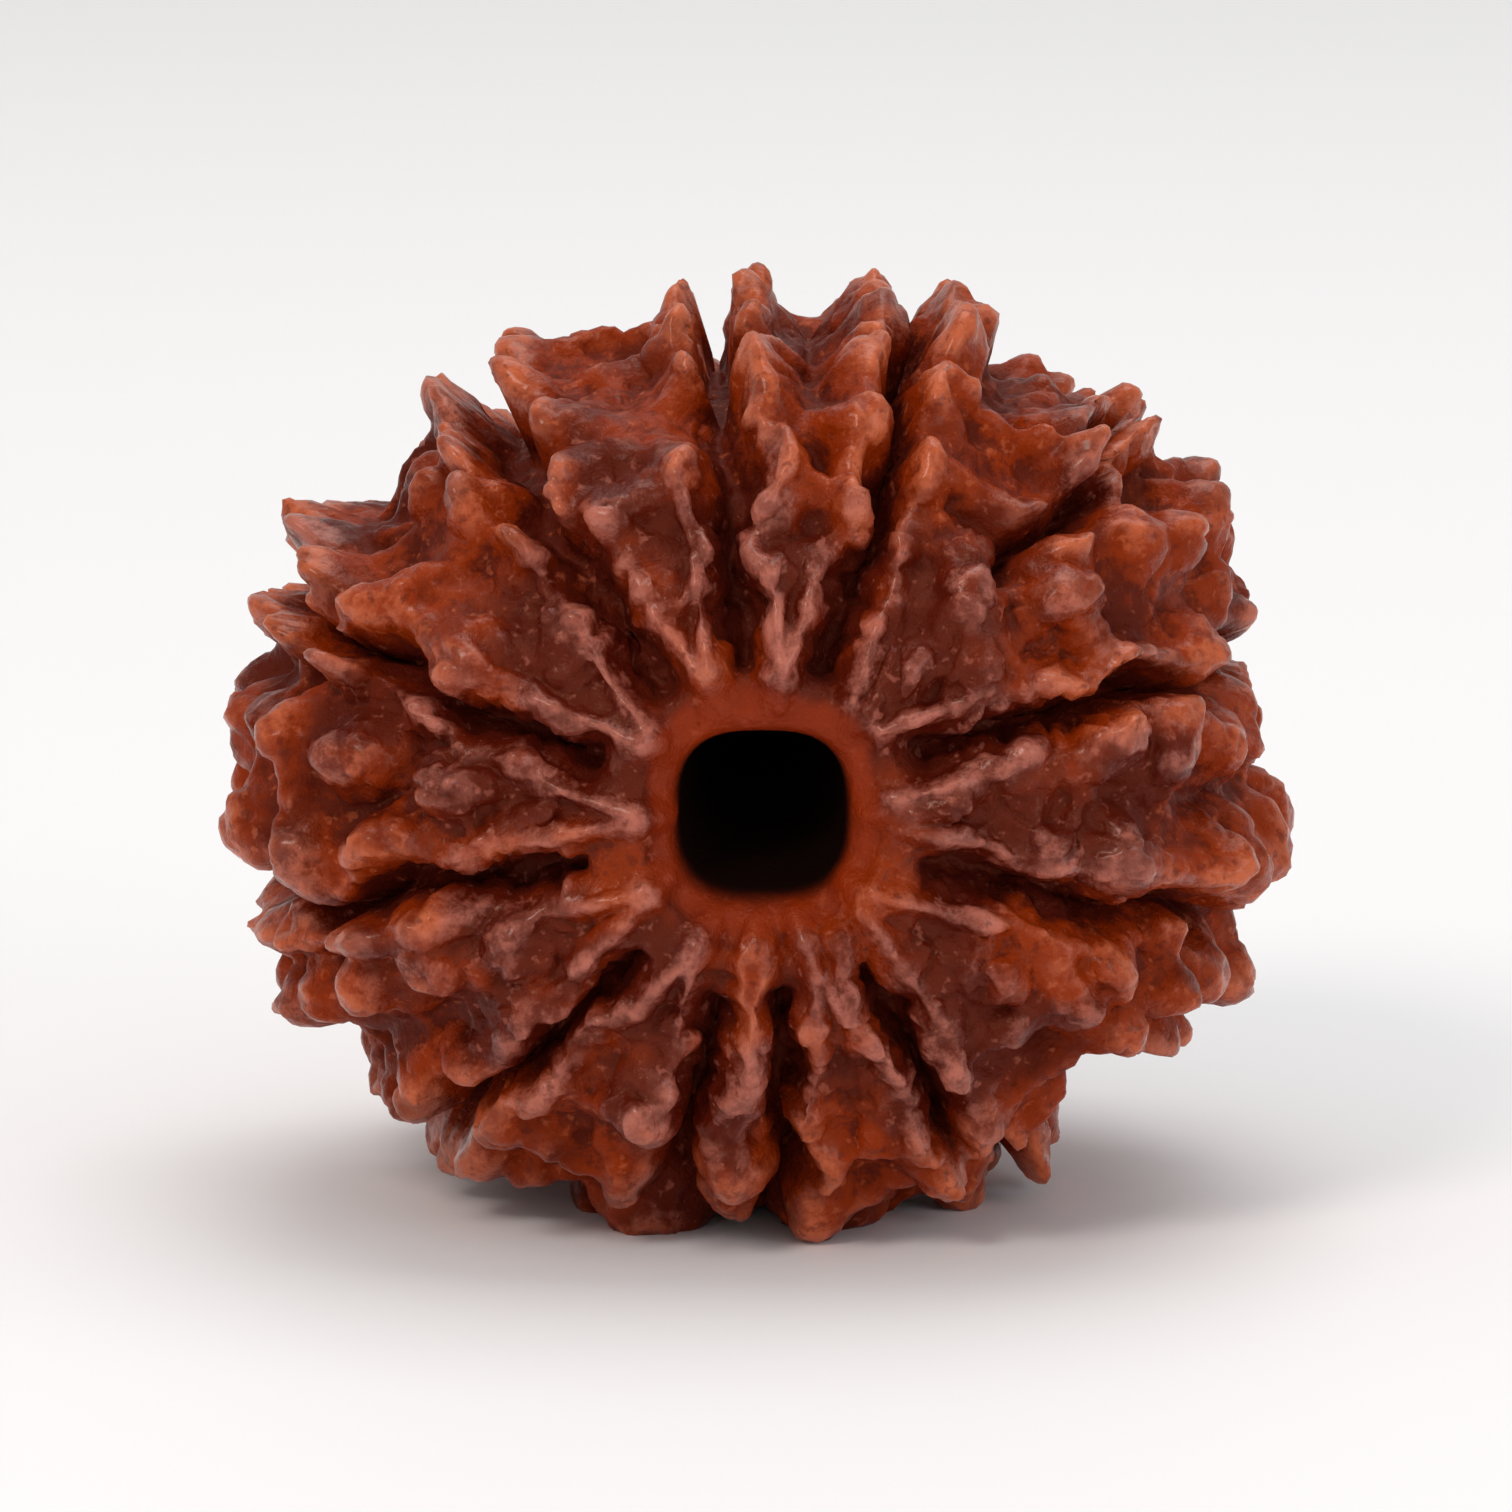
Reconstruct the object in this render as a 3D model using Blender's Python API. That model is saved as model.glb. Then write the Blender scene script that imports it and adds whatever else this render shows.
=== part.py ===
"""An eleven-faced rudraksha bead, the seed stone of Elaeocarpus ganitrus, standing on its rim.

The stone grew as one piece, so it is one object. Its own axis, with the thread hole, runs
along Y; +X is to the right and +Z is up. The surface that it stands on is Z = 0, and the
origin is there, under the middle of the bead. Sizes in the tables are millimetres and
degrees, and the mesh is in metres.
"""

import math

import bpy
import numpy as np

MM = 0.001
FULL_TURN = 2 * math.pi

# Driving sizes, in millimetres
AXIS_HEIGHT = 12.5  # the bead's axis above the surface it stands on
AXIS_ASIDE = 0.17  # the axis to the right of the middle of the bead's width
RIM_RADIUS = 12.2  # the body under its knobs, at the rim
RIM_WIDER = 0.55  # how much more than that it measures to the sides, and less up and down
FACE_DEPTH = 11.3  # from the middle plane to the ring round each mouth of the hole
MOUTH_RADIUS = 2.35
MOUTH_SQUARENESS = 0.05  # share by which the hole is wider across its corners than that
SQUARE_UNTIL = (2.5, 4.5)  # the squareness fades away between these distances from the axis
WAIST_RADIUS = 1.1  # the hole at its narrowest, half way through
BORE_RISE = 1.3  # how far the middle of the hole lies above its mouths

# Half of the bead's section: distance from the axis, and depth from the middle plane
HALF_SECTION = (
    (WAIST_RADIUS, 0.0),
    (1.25, 3.0),
    (1.65, 5.6),
    (2.05, 8.0),
    (2.25, 9.6),
    (MOUTH_RADIUS, 10.6),
    (2.7, 11.15),
    (3.3, FACE_DEPTH),
    (4.2, 11.2),
    (5.2, 10.95),
    (7.0, 10.3),
    (9.1, 8.9),
    (10.9, 6.4),
    (11.9, 3.4),
    (RIM_RADIUS, 0.0),
)

# The furrows between the faces: angles from +X towards +Z at the front mouth of the hole, at
# the rim and at the back mouth, how many times the usual width each is at the rim and near
# the mouths, and how far from the axis it begins
FURROWS = (
    (26, 11.5, 22, 1.1, 0.75, 3.6),
    (68, 71, 66, 1.0, 1.15, 3.5),
    (96, 97, 96.5, 2.3, 1.0, 3.5),
    (126, 127.5, 129, 1.9, 1.2, 3.6),
    (160, 159.5, 163, 1.0, 1.0, 3.8),
    (194, 194.5, 196, 1.0, 0.9, 4.1),
    (228, 227, 224, 1.0, 0.65, 4.2),
    (257, 259, 258, 1.0, 0.9, 4.5),
    (276, 274, 279, 1.0, 0.85, 4.1),
    (304, 301, 306, 1.0, 0.7, 4.1),
    (344, 342.5, 341, 1.1, 1.1, 3.7),
)
FURROW_HALF_WIDTHS = (0.5, 0.36)  # near the mouths, and at the rim
FURROW_DEPTHS = (1.4, 1.1)
FURROW_ROOM = 0.11  # its half width is at most this share of the distance from the axis
FURROW_STEEP = 2.6  # the power that makes its walls steep and its floor flat
FURROW_UNEVEN = 0.3  # share by which its width comes and goes, over the length below
FURROW_UNEVEN_LENGTH = 3.1
FURROW_UNEVEN_SHIFT = 0.27  # from one furrow to the next, as a share of that length
FURROW_RUN_IN = 1.1  # it reaches its full depth this far beyond where it begins
FURROW_SWAY = 0.35  # how far it strays from its line, on its way over the rim
FURROW_SWAY_LENGTH = 7.0
FURROW_SWAY_SHIFT = 0.38  # from one furrow to the next, as a share of that length
RIM_STARTS = (7.5, 10.5)  # a face turns into the rim between these distances from the axis
LIP_OFFSET = 0.95  # from a furrow's middle to the crest of the lip beside it
LIP_ROOM = 0.25  # that is at most this share of the distance from the axis
LIP_HALF_WIDTH = 0.3
LIP_HEIGHT = 0.5
LIP_LOWER = 0.3  # its share of that at the rim
LIP_FADES = (4.8, 9.0)  # it is lowered between these distances from the axis
RING_EDGE = 2.8  # the smooth ring round a mouth reaches this far from the axis
RING_HIGHER = 0.75  # and this much farther above the hole
RING_UNEVEN = 0.12  # how much its reach comes and goes round the hole
FACE_STEP = 0.3  # how far the faces stand above the ring
STEP_RUN = 0.7  # how far that step takes
MOUTH_EDGE = (-0.7, 0.0)  # no relief this far inside the ring's crest, and all of it from there on
TIP_BEYOND = 0.6  # from the ring's edge to the small bump at each face's inner tip
TIP_HALF_SIZES = (0.8, 0.45)  # away from the hole, and across
TIP_HEIGHT = 0.5

# Two smooth ridges that run out from the front mouth: angle and distance from the axis at both ends
RIDGES = ((3, 3.7, 20, 8.2), (304, 3.2, 293, 6.0))
RIDGE_HALF_WIDTH = 0.4
RIDGE_HEIGHT = 0.9

# A half-formed furrow in the widest face, which stays short of the mouths
CREASE = (47, 43, 45)
CREASE_DEPTH = 1.1
CREASE_STARTS = (7.4, 9.4)  # none within the first distance from the axis, all beyond the second

# The outline of the rim as seen from a little above the axis: angle, and distance from its
# middle. Its high points are knobs, and its low points are furrows and gaps between knobs.
RIM_OUTLINE = (
    (-10, 15.2),
    (-5, 14.8),
    (-1, 13.5),
    (3.5, 13.8),
    (8, 13.8),
    (11.3, 13.2),
    (14.3, 13.9),
    (17, 14.3),
    (21, 14.2),
    (27, 14.8),
    (32, 15.0),
    (38, 13.8),
    (42, 14.8),
    (44.5, 14.7),
    (52, 13.4),
    (57, 12.4),
    (60.5, 12.7),
    (62.5, 14.4),
    (67.5, 14.5),
    (69.7, 13.2),
    (75.5, 13.8),
    (77.5, 13.6),
    (83.5, 12.0),
    (87, 12.4),
    (90.7, 13.6),
    (93.3, 13.6),
    (94.9, 11.0),
    (98, 11.0),
    (99, 13.8),
    (103.5, 12.9),
    (106, 12.7),
    (114, 13.1),
    (123, 13.9),
    (124.6, 12.0),
    (127.5, 11.2),
    (129.6, 12.2),
    (131.5, 14.2),
    (136, 13.0),
    (145, 12.7),
    (149, 13.0),
    (152.3, 15.1),
    (155.8, 14.6),
    (158.5, 13.2),
    (161.5, 14.9),
    (167.5, 13.9),
    (174, 14.9),
    (180, 14.8),
    (187, 15.0),
    (192, 13.8),
    (194.5, 14.1),
    (198, 15.1),
    (202, 14.7),
    (207, 15.2),
    (216, 14.1),
    (221, 14.6),
    (227, 14.1),
    (231.5, 15.0),
    (238, 14.3),
    (244, 13.7),
    (251, 14.2),
    (256, 14.1),
    (261, 13.9),
    (267, 14.0),
    (273, 13.6),
    (278, 14.1),
    (288, 13.0),
    (295.7, 14.0),
    (300, 13.8),
    (303.4, 14.5),
    (306.5, 13.9),
    (314, 12.3),
    (319.5, 12.1),
    (322.5, 12.7),
    (325.8, 14.4),
    (329, 14.1),
    (334, 15.3),
    (342, 14.0),
    (345, 14.8),
)
OUTLINE_LOWER = 0.2  # how far its middle lies below the axis
SEEN_TALLER = 0.3  # what the view from above adds to the outline, at its top and bottom
OUTLINE_FLOOR = 9.5  # heights above this radius are stretched or shrunk to fit the outline
OUTLINE_STRETCH = (0.2, 1.5)  # the least and the most
OUTLINE_BELT = (4.5, 9.0)  # it is done fully within the first distance of the middle plane
OUTLINE_EASING = 0.3  # the fit goes by the highest ground within about this distance
OUTLINE_REACH = 1.5  # as many times that distance are searched for it
SADDLE_LENGTH = 1.6  # a furrow too deep for the outline is filled this far round the rim's middle

# Knobs stand in rows that run from mouth to mouth, one row from each high point of the rim
KNOB_PITCH = 2.6
KNOB_PITCHES = (0.8, 1.2)  # the least and the most, as shares of that
KNOB_ASTRAY = 0.35  # how far a knob may stand from its place along the row
KNOB_ASIDE = 0.05  # and across it, as a share of its face's width
KNOB_HEIGHTS = (1.2, 2.0)
KNOB_ALONG = (1.0, 1.55)  # half sizes
KNOB_ACROSS = (0.95, 1.3)
KNOB_LEAST_GAP = 1.1  # a knob is no wider than the gap to the next row, or than this
KNOB_SHRINKS = (0.4, 0.7)  # the powers by which it gets shorter and narrower near the mouths
KNOB_TURN = 40  # degrees either way
KNOBS_START = 5.6  # distance from the axis where the rows begin
KNOBS_GROW = (3.5, 11.0)  # they grow from nothing to full height between these distances
LINK_HALF_WIDTH = 0.6
LINK_HEIGHT = 0.62  # of the lower knob of the two that a link joins
LINK_CHANCES = (0.6, 0.5)  # that a knob is joined to the next one in its row, or in the next row
KNOB_WINDOW = 1.7  # a knob is as good as flat beyond this many half sizes
KNOB_BLUNT = 1.3  # the power that makes a knob's top blunt and its sides steep
ROUNDING = 4  # the power by which shapes melt into each other; a higher one is crisper
RIPPLE = 0.16  # height of the uneven ground between the knobs
RIPPLE_LENGTH = 2.6
WANDER = 0.26  # how far the relief is pushed about sideways
WANDER_LENGTH = 4.0
WANDER_STARTS = (5.5, 9.5)  # none within the first distance from the axis, all beyond the second
WANDER_OFF_RIM = (1.0, 6.0)  # and none, or all, this far from the middle of the rim

# Knobs that the bead stands on, two to each side of its weight: angle, and Y
FEET = ((255.0, -5.2), (253.5, 3.4), (279.5, -4.3), (280.0, 3.1))
FOOT_HALF_SIZE = 1.7
FOOT_WORN = 0.3  # how much of each foot is cut off by the surface
FOOT_EDGE = 0.6  # a foot that is lower than this at some point blends into the ground there

COLUMNS = 340
ROWS = 240
TRIANGLES = 11000
SEED = 11


def smooth_step(low, high, value):
    """0 below low, 1 above high, and a smooth rise between them."""
    share = np.clip((value - low) / (high - low), 0.0, 1.0)
    return share * share * (3 - 2 * share)


def turn_between(angles, start):
    """The shorter turn from start to each angle."""
    return (angles - start + math.pi) % FULL_TURN - math.pi


def closed_curve(points, steps=24):
    """A smooth closed curve through the points, by Catmull and Rom's rule."""
    points = np.asarray(points, float)
    share = (np.arange(steps) / steps)[:, None]
    before, after, beyond = (np.roll(points, shift, axis=0) for shift in (1, -1, -2))
    pieces = []
    for a, b, c, d in zip(before, points, after, beyond):
        pieces.append(
            b
            + share / 2 * (c - a)
            + share**2 * (a - 2.5 * b + 2 * c - d / 2)
            + share**3 * (1.5 * (b - c) + (d - a) / 2)
        )
    return np.concatenate(pieces)


def ring_edge(angles):
    """How far from the axis the ring round a mouth reaches at each angle."""
    uneven = (np.sin(3 * angles + 0.8) + np.sin(7 * angles + 2.1)) * RING_UNEVEN
    return RING_EDGE + RING_HIGHER * smooth_step(0.4, 1, np.sin(angles)) + uneven


class Skin:
    """The bead's plain surface as a grid, rows along its section and columns round its axis."""

    def __init__(self, rows, columns):
        front = [(radius, -depth) for radius, depth in HALF_SECTION]
        back = [(radius, depth) for radius, depth in HALF_SECTION[-2:0:-1]]
        curve = closed_curve(front + back)
        steps = np.linalg.norm(np.roll(curve, -1, axis=0) - curve, axis=1)
        run = np.concatenate([[0], np.cumsum(steps)])
        curve = np.vstack([curve, curve[:1]])
        places = np.arange(rows) / rows * run[-1]
        self.radius = np.interp(places, run, curve[:, 0])
        self.y = np.interp(places, run, curve[:, 1])
        ahead = np.roll(np.stack([self.radius, self.y]), -1, axis=1)
        behind = np.roll(np.stack([self.radius, self.y]), 1, axis=1)
        along = ahead - behind
        along /= np.linalg.norm(along, axis=0)
        self.out_radius, self.out_y = along[1], -along[0]
        self.arc = places - run[-1] / 2  # 0 at the rim, and negative in front
        crest = np.argmin(np.where(self.radius > MOUTH_RADIUS, self.y, 0))
        self.reach = -self.arc[crest]  # from the rim to the ring round a mouth
        self.angles = np.arange(columns) / columns * FULL_TURN
        self.level = np.clip(self.arc / self.reach, -1, 1)
        self.outer = smooth_step(*MOUTH_EDGE, self.reach - np.abs(self.arc))
        beyond = self.radius[:, None] - ring_edge(self.angles)
        self.faces = smooth_step(0, STEP_RUN, beyond) * self.outer[:, None]
        self.rim = smooth_step(*RIM_STARTS, self.radius)

    def widened(self):
        """Distance from the axis at every grid point: the bead is wider than it is tall, and
        its hole is a little square."""
        share = (self.radius / RIM_RADIUS) ** 2
        square = MOUTH_SQUARENESS * (1 - smooth_step(*SQUARE_UNTIL, self.radius)) * self.radius
        wider = np.outer(share, RIM_WIDER * np.cos(2 * self.angles))
        return self.radius[:, None] + wider - np.outer(square, np.cos(4 * self.angles))

    def points(self, relief):
        """The grid's points, in millimetres, with relief raised from the plain surface."""
        radius = self.widened() + relief * self.out_radius[:, None]
        y = self.y[:, None] + relief * self.out_y[:, None]
        return np.stack(
            [radius * np.cos(self.angles), y, radius * np.sin(self.angles)], axis=-1
        )


def furrow_angle(furrow, level):
    """A furrow's angle at each level, from -1 at the front mouth to 1 at the back one."""
    front, rim, back = np.radians(furrow[:3])
    return rim + (back - front) / 2 * level + ((back + front) / 2 - rim) * level**2


def waves(points, length, seed, count=14):
    """Smooth noise from about -1 to 1: sine waves of about this length in all directions."""
    draw = np.random.default_rng(seed)
    total = np.zeros(points.shape[:-1])
    for _ in range(count):
        direction = draw.normal(size=3)
        direction /= np.linalg.norm(direction)
        pitch = FULL_TURN / (length * draw.uniform(0.7, 1.4))
        total += np.sin(points @ direction * pitch + draw.uniform(0, FULL_TURN))
    return total * math.sqrt(2 / count) / 1.6


def raise_dome(swell, skin, angle, arc, along, across, turn, height):
    """Adds one rounded knob to swell, the sum of every shape's height to the ROUNDING."""
    reach = KNOB_WINDOW * max(along, across)
    rows = np.flatnonzero(np.abs(skin.arc - arc) < reach)
    if not len(rows):
        return
    swing = turn_between(skin.angles, angle)
    columns = np.flatnonzero(np.abs(swing) * skin.radius[rows].min() < reach)
    side = swing[columns][None, :] * skin.radius[rows][:, None]
    ahead = (skin.arc[rows] - arc)[:, None]
    spread = (ahead * math.cos(turn) + side * math.sin(turn)) ** 2 / along**2
    spread += (side * math.cos(turn) - ahead * math.sin(turn)) ** 2 / across**2
    swell[np.ix_(rows, columns)] += (height * np.exp(-(spread**KNOB_BLUNT))) ** ROUNDING


def raise_link(swell, skin, start, end, half_width):
    """Adds a ridge from one knob to another. Each is (angle, arc, height)."""
    swing = float(turn_between(np.array(end[0]), start[0]))
    middle = np.interp((start[1] + end[1]) / 2, skin.arc, skin.radius)
    length = math.hypot(swing * middle, end[1] - start[1])
    count = max(2, round(length / (half_width * 0.9)))
    height = LINK_HEIGHT * min(start[2], end[2])
    for step in range(1, count):
        share = step / count
        angle, arc = start[0] + swing * share, start[1] + (end[1] - start[1]) * share
        raise_dome(swell, skin, angle, arc, half_width, half_width, 0, height)


def knob_rows():
    """The rim's high points, as (face, place across the face from 0 to 1, gap to the next)."""
    high = [
        spot[0] % 360
        for before, spot, after in zip(
            RIM_OUTLINE[-1:] + RIM_OUTLINE[:-1], RIM_OUTLINE, RIM_OUTLINE[1:] + RIM_OUTLINE[:1]
        )
        if spot[1] >= max(before[1], after[1])
    ]
    rows = []
    for face, furrow in enumerate(FURROWS):
        start, width = furrow[1], (FURROWS[(face + 1) % len(FURROWS)][1] - furrow[1]) % 360
        places = sorted((angle - start) % 360 / width for angle in high)
        inside = [place for place in places if place < 1]
        edges = [0, *inside, 1]
        for left, place, right in zip(edges, inside, edges[2:]):
            gap = min(place - left, right - place) * math.radians(width) * RIM_RADIUS
            rows.append((face, place, gap))
    return rows


def knobs_of(skin, draw):
    """Every knob of the rows, as lists of (angle, arc, height, along, across, turn)."""
    found = []
    for number, (face, place, gap) in enumerate(knob_rows()):
        row = []
        arc = -skin.reach + KNOB_PITCH * (0.5 if number % 2 else 1.0)
        while arc < skin.reach:
            radius = float(np.interp(arc, skin.arc, skin.radius))
            level = arc / skin.reach
            left = furrow_angle(FURROWS[face], level)
            right = furrow_angle(FURROWS[(face + 1) % len(FURROWS)], level)
            width = (right - left) % FULL_TURN
            room = radius / RIM_RADIUS
            angle = left + width * (place + draw.uniform(-KNOB_ASIDE, KNOB_ASIDE))
            height = draw.uniform(*KNOB_HEIGHTS) * float(smooth_step(*KNOBS_GROW, radius))
            across = min(draw.uniform(*KNOB_ACROSS), max(gap, KNOB_LEAST_GAP))
            across *= room ** KNOB_SHRINKS[1]
            along = draw.uniform(*KNOB_ALONG) * room ** KNOB_SHRINKS[0]
            turn = math.radians(draw.uniform(-KNOB_TURN, KNOB_TURN))
            if radius > KNOBS_START:
                astray = draw.uniform(-KNOB_ASTRAY, KNOB_ASTRAY)
                row.append((angle, arc + astray, height, along, across, turn))
            arc += KNOB_PITCH * draw.uniform(*KNOB_PITCHES)
        found.append(row)
    return found


def raise_knobs(swell, skin, draw):
    """Adds the rows of knobs and the ridges that join some of them."""
    rows = knobs_of(skin, draw)
    for row, after in zip(rows, rows[1:] + rows[:1]):
        for knob in row:
            angle, arc, height, along, across, turn = knob
            raise_dome(swell, skin, angle, arc, along, across, turn, height)
            beside = [other for other in after if abs(other[1] - arc) < KNOB_PITCH]
            if beside and draw.uniform() < LINK_CHANCES[1]:
                near = min(beside, key=lambda other: abs(other[1] - arc))
                raise_link(swell, skin, knob[:3], near[:3], LINK_HALF_WIDTH)
        for knob, near in zip(row, row[1:]):
            if draw.uniform() < LINK_CHANCES[0]:
                raise_link(swell, skin, knob[:3], near[:3], LINK_HALF_WIDTH)


def beside_line(skin, line, number):
    """How far every grid point is from one furrow's line, measured round the bead."""
    middle = furrow_angle(line, skin.level)[:, None]
    sway = np.sin(FULL_TURN * (skin.arc / FURROW_SWAY_LENGTH + FURROW_SWAY_SHIFT * number))
    across = turn_between(skin.angles[None, :], middle) * skin.radius[:, None]
    return np.abs(across + (FURROW_SWAY * skin.rim * sway)[:, None])


def raise_lips(swell, skin):
    """Adds a straight raised lip along both sides of each furrow, strongest near the mouths."""
    fade = smooth_step(*LIP_FADES, skin.radius)[:, None]
    height = LIP_HEIGHT * (1 - (1 - LIP_LOWER) * fade) * skin.faces
    for number, line in enumerate(FURROWS):
        offset = np.minimum(LIP_OFFSET, LIP_ROOM * skin.radius)
        offset += (line[3] - 1) * FURROW_HALF_WIDTHS[1] * skin.rim
        side = beside_line(skin, line, number) - offset[:, None]
        swell += (height * np.exp(-((side / LIP_HALF_WIDTH) ** 2))) ** ROUNDING


def raise_tips(swell, skin):
    """Adds the small bump at the inner tip of each face, beside the ring round each mouth."""
    for front in (True, False):
        outer = np.flatnonzero((skin.arc < 0) == front)
        level = -1 if front else 1
        for line, after in zip(FURROWS, FURROWS[1:] + FURROWS[:1]):
            left = furrow_angle(line, level)
            middle = left + (furrow_angle(after, level) - left) % FULL_TURN / 2
            radius = ring_edge(middle) + TIP_BEYOND
            row = outer[np.argmin(np.abs(skin.radius[outer] - radius))]
            raise_dome(swell, skin, middle, skin.arc[row], *TIP_HALF_SIZES, 0, TIP_HEIGHT)


def raise_ridges(swell, skin):
    """Adds the two smooth ridges that run out from the front mouth."""
    front = np.flatnonzero(skin.arc < 0)
    for start, near, end, far in RIDGES:
        ends = []
        for angle, radius in ((start, near), (end, far)):
            row = front[np.argmin(np.abs(skin.radius[front] - radius))]
            ends.append((math.radians(angle), skin.arc[row], RIDGE_HEIGHT))
        raise_link(swell, skin, *ends, RIDGE_HALF_WIDTH)


def cut_furrows(relief, skin):
    """Cuts each furrow between its lips, and the crease."""
    rim = skin.rim[:, None]
    for number, line in enumerate(FURROWS):
        run_in = smooth_step(line[5], line[5] + FURROW_RUN_IN, skin.radius)[:, None]
        depth = (FURROW_DEPTHS[0] * (1 - rim) + FURROW_DEPTHS[1] * rim) * run_in
        at_rim, at_mouths = line[3:5]
        width = FURROW_HALF_WIDTHS[0] * at_mouths * (1 - rim) + FURROW_HALF_WIDTHS[1] * at_rim * rim
        width = np.minimum(width, FURROW_ROOM * skin.radius[:, None])
        shift = FURROW_UNEVEN_SHIFT * number
        uneven = np.sin(FULL_TURN * (skin.arc / FURROW_UNEVEN_LENGTH + shift))
        width = width * (1 + FURROW_UNEVEN * uneven[:, None])
        cut = np.exp(-((beside_line(skin, line, number) / width) ** FURROW_STEEP)) * run_in
        relief[:] = relief * (1 - cut) - depth * cut
    cut = np.exp(-((beside_line(skin, CREASE, len(FURROWS)) / FURROW_HALF_WIDTHS[1]) ** 2))
    cut = cut * smooth_step(*CREASE_STARTS, skin.radius)[:, None]
    relief[:] = relief * (1 - cut) - CREASE_DEPTH * cut


def reach_outline(relief, skin):
    """Stretches or shrinks the heights near the rim until they just reach its outline, or
    the surface that the bead stands on."""
    angles, reach = np.radians([spot[0] for spot in RIM_OUTLINE]), [spot[1] for spot in RIM_OUTLINE]
    across = reach * np.cos(angles)
    up = reach * np.sin(angles) - OUTLINE_LOWER
    degrees = np.degrees(np.unwrap(np.arctan2(up, across)))
    columns = np.degrees(skin.angles)
    order = np.concatenate([degrees - 360, degrees, degrees + 360])
    reaches = np.tile(np.hypot(across, up), 3)
    place = np.searchsorted(order, columns, side="right") - 1
    share = (columns - order[place]) / (order[place + 1] - order[place])
    share = smooth_step(0, 1, share)
    outline = reaches[place] * (1 - share) + reaches[place + 1] * share
    outline -= SEEN_TALLER * np.sin(skin.angles) ** 2
    ground = (AXIS_HEIGHT + FOOT_WORN) / np.clip(-np.sin(skin.angles), 0.3, None)
    outline = np.minimum(outline, ground)
    out = skin.widened() + relief * skin.out_radius[:, None]
    highest = out.max(axis=0)
    steps = len(columns) * OUTLINE_EASING / (FULL_TURN * RIM_RADIUS)
    wide = math.ceil(OUTLINE_REACH * steps)
    wide = range(-wide, wide + 1)
    highest = np.max([np.roll(highest, shift) for shift in wide], axis=0)
    passed = np.exp(-2 * (math.pi * steps * np.fft.rfftfreq(len(columns))) ** 2)
    highest = np.fft.irfft(np.fft.rfft(highest) * passed, n=len(columns))
    stretch = (outline - OUTLINE_FLOOR) / (highest - OUTLINE_FLOOR)
    belt = 1 - smooth_step(*OUTLINE_BELT, np.abs(skin.arc))
    relief += (out - OUTLINE_FLOOR) * np.outer(belt, np.clip(stretch, *OUTLINE_STRETCH) - 1)
    out = skin.widened() + relief * skin.out_radius[:, None]
    lacking = np.clip(outline - out.max(axis=0), 0, None)
    relief += np.outer(np.exp(-((skin.arc / SADDLE_LENGTH) ** 2)), lacking)


def raise_feet(relief, skin):
    """Raises the knobs that the bead stands on until they pass the surface under it."""
    swell = np.zeros(relief.shape)
    for degrees, y in FEET:
        angle = math.radians(degrees)
        outer = skin.radius > KNOBS_START
        row = np.flatnonzero(outer)[np.argmin(np.abs(skin.y[outer] - y))]
        plain = skin.radius[row] + RIM_WIDER * math.cos(2 * angle)
        height = (AXIS_HEIGHT + FOOT_WORN) / -math.sin(angle) - plain
        height /= skin.out_radius[row]
        size = FOOT_HALF_SIZE
        raise_dome(swell, skin, angle, skin.arc[row], size, size, 0, height)
    feet = swell ** (1 / ROUNDING)
    edge = FURROW_DEPTHS[0] * (1 - smooth_step(0, FOOT_EDGE, feet))
    relief[:] = np.maximum(relief, feet - edge)


def sideways(plain, skin):
    """How far each point is pushed sideways. At the rim it is along the axis only, so the
    outline stays."""
    sway = np.stack([waves(plain, WANDER_LENGTH, SEED + 1 + axis) for axis in range(3)], axis=-1)
    sway[..., (0, 2)] *= smooth_step(*WANDER_OFF_RIM, np.abs(skin.arc))[:, None, None]
    return WANDER * sway * smooth_step(*WANDER_STARTS, skin.radius)[:, None, None]


def bead_points(rows, columns):
    """The grid of the whole surface, in metres, with the bead standing on Z = 0."""
    skin = Skin(rows, columns)
    plain = skin.points(np.zeros((rows, columns)))
    swell = np.zeros((rows, columns))
    raise_knobs(swell, skin, np.random.default_rng(SEED))
    raise_lips(swell, skin)
    raise_tips(swell, skin)
    raise_ridges(swell, skin)
    ripple = FACE_STEP + RIPPLE * waves(plain, RIPPLE_LENGTH, SEED)
    relief = swell ** (1 / ROUNDING) + ripple * skin.faces
    cut_furrows(relief, skin)
    reach_outline(relief, skin)
    raise_feet(relief, skin)
    points = skin.points(relief)
    points += sideways(plain, skin)
    inside = np.where(np.abs(skin.arc) > skin.reach, 1 - (skin.y / FACE_DEPTH) ** 2, 0)
    points[..., 0] += AXIS_ASIDE
    points[..., 2] += AXIS_HEIGHT + BORE_RISE * np.clip(inside, 0, None)[:, None]
    return points * MM


def grid_mesh(name, points):
    """A closed mesh from a grid of points that joins up both ways, faces pointing out."""
    rows, columns = points.shape[:2]
    index = np.arange(rows * columns).reshape(rows, columns)
    after, above = np.roll(index, -1, axis=1), np.roll(index, -1, axis=0)
    corner = np.roll(above, -1, axis=1)
    faces = np.stack([index, above, corner, after], axis=-1).reshape(-1, 4)
    mesh = bpy.data.meshes.new(name)
    mesh.from_pydata(points.reshape(-1, 3).tolist(), [], faces.tolist())
    mesh.shade_smooth()
    return mesh


def stone_material():
    """Ripe, oiled seed stone: red-brown and woody, with a low gloss."""
    material = bpy.data.materials.new("oiled_seed_stone")
    material.use_nodes = True
    shader = material.node_tree.nodes["Principled BSDF"]
    shader.inputs["Base Color"].default_value = (0.19, 0.042, 0.016, 1)
    shader.inputs["Roughness"].default_value = 0.4
    shader.inputs["Metallic"].default_value = 0.0
    return material


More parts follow.
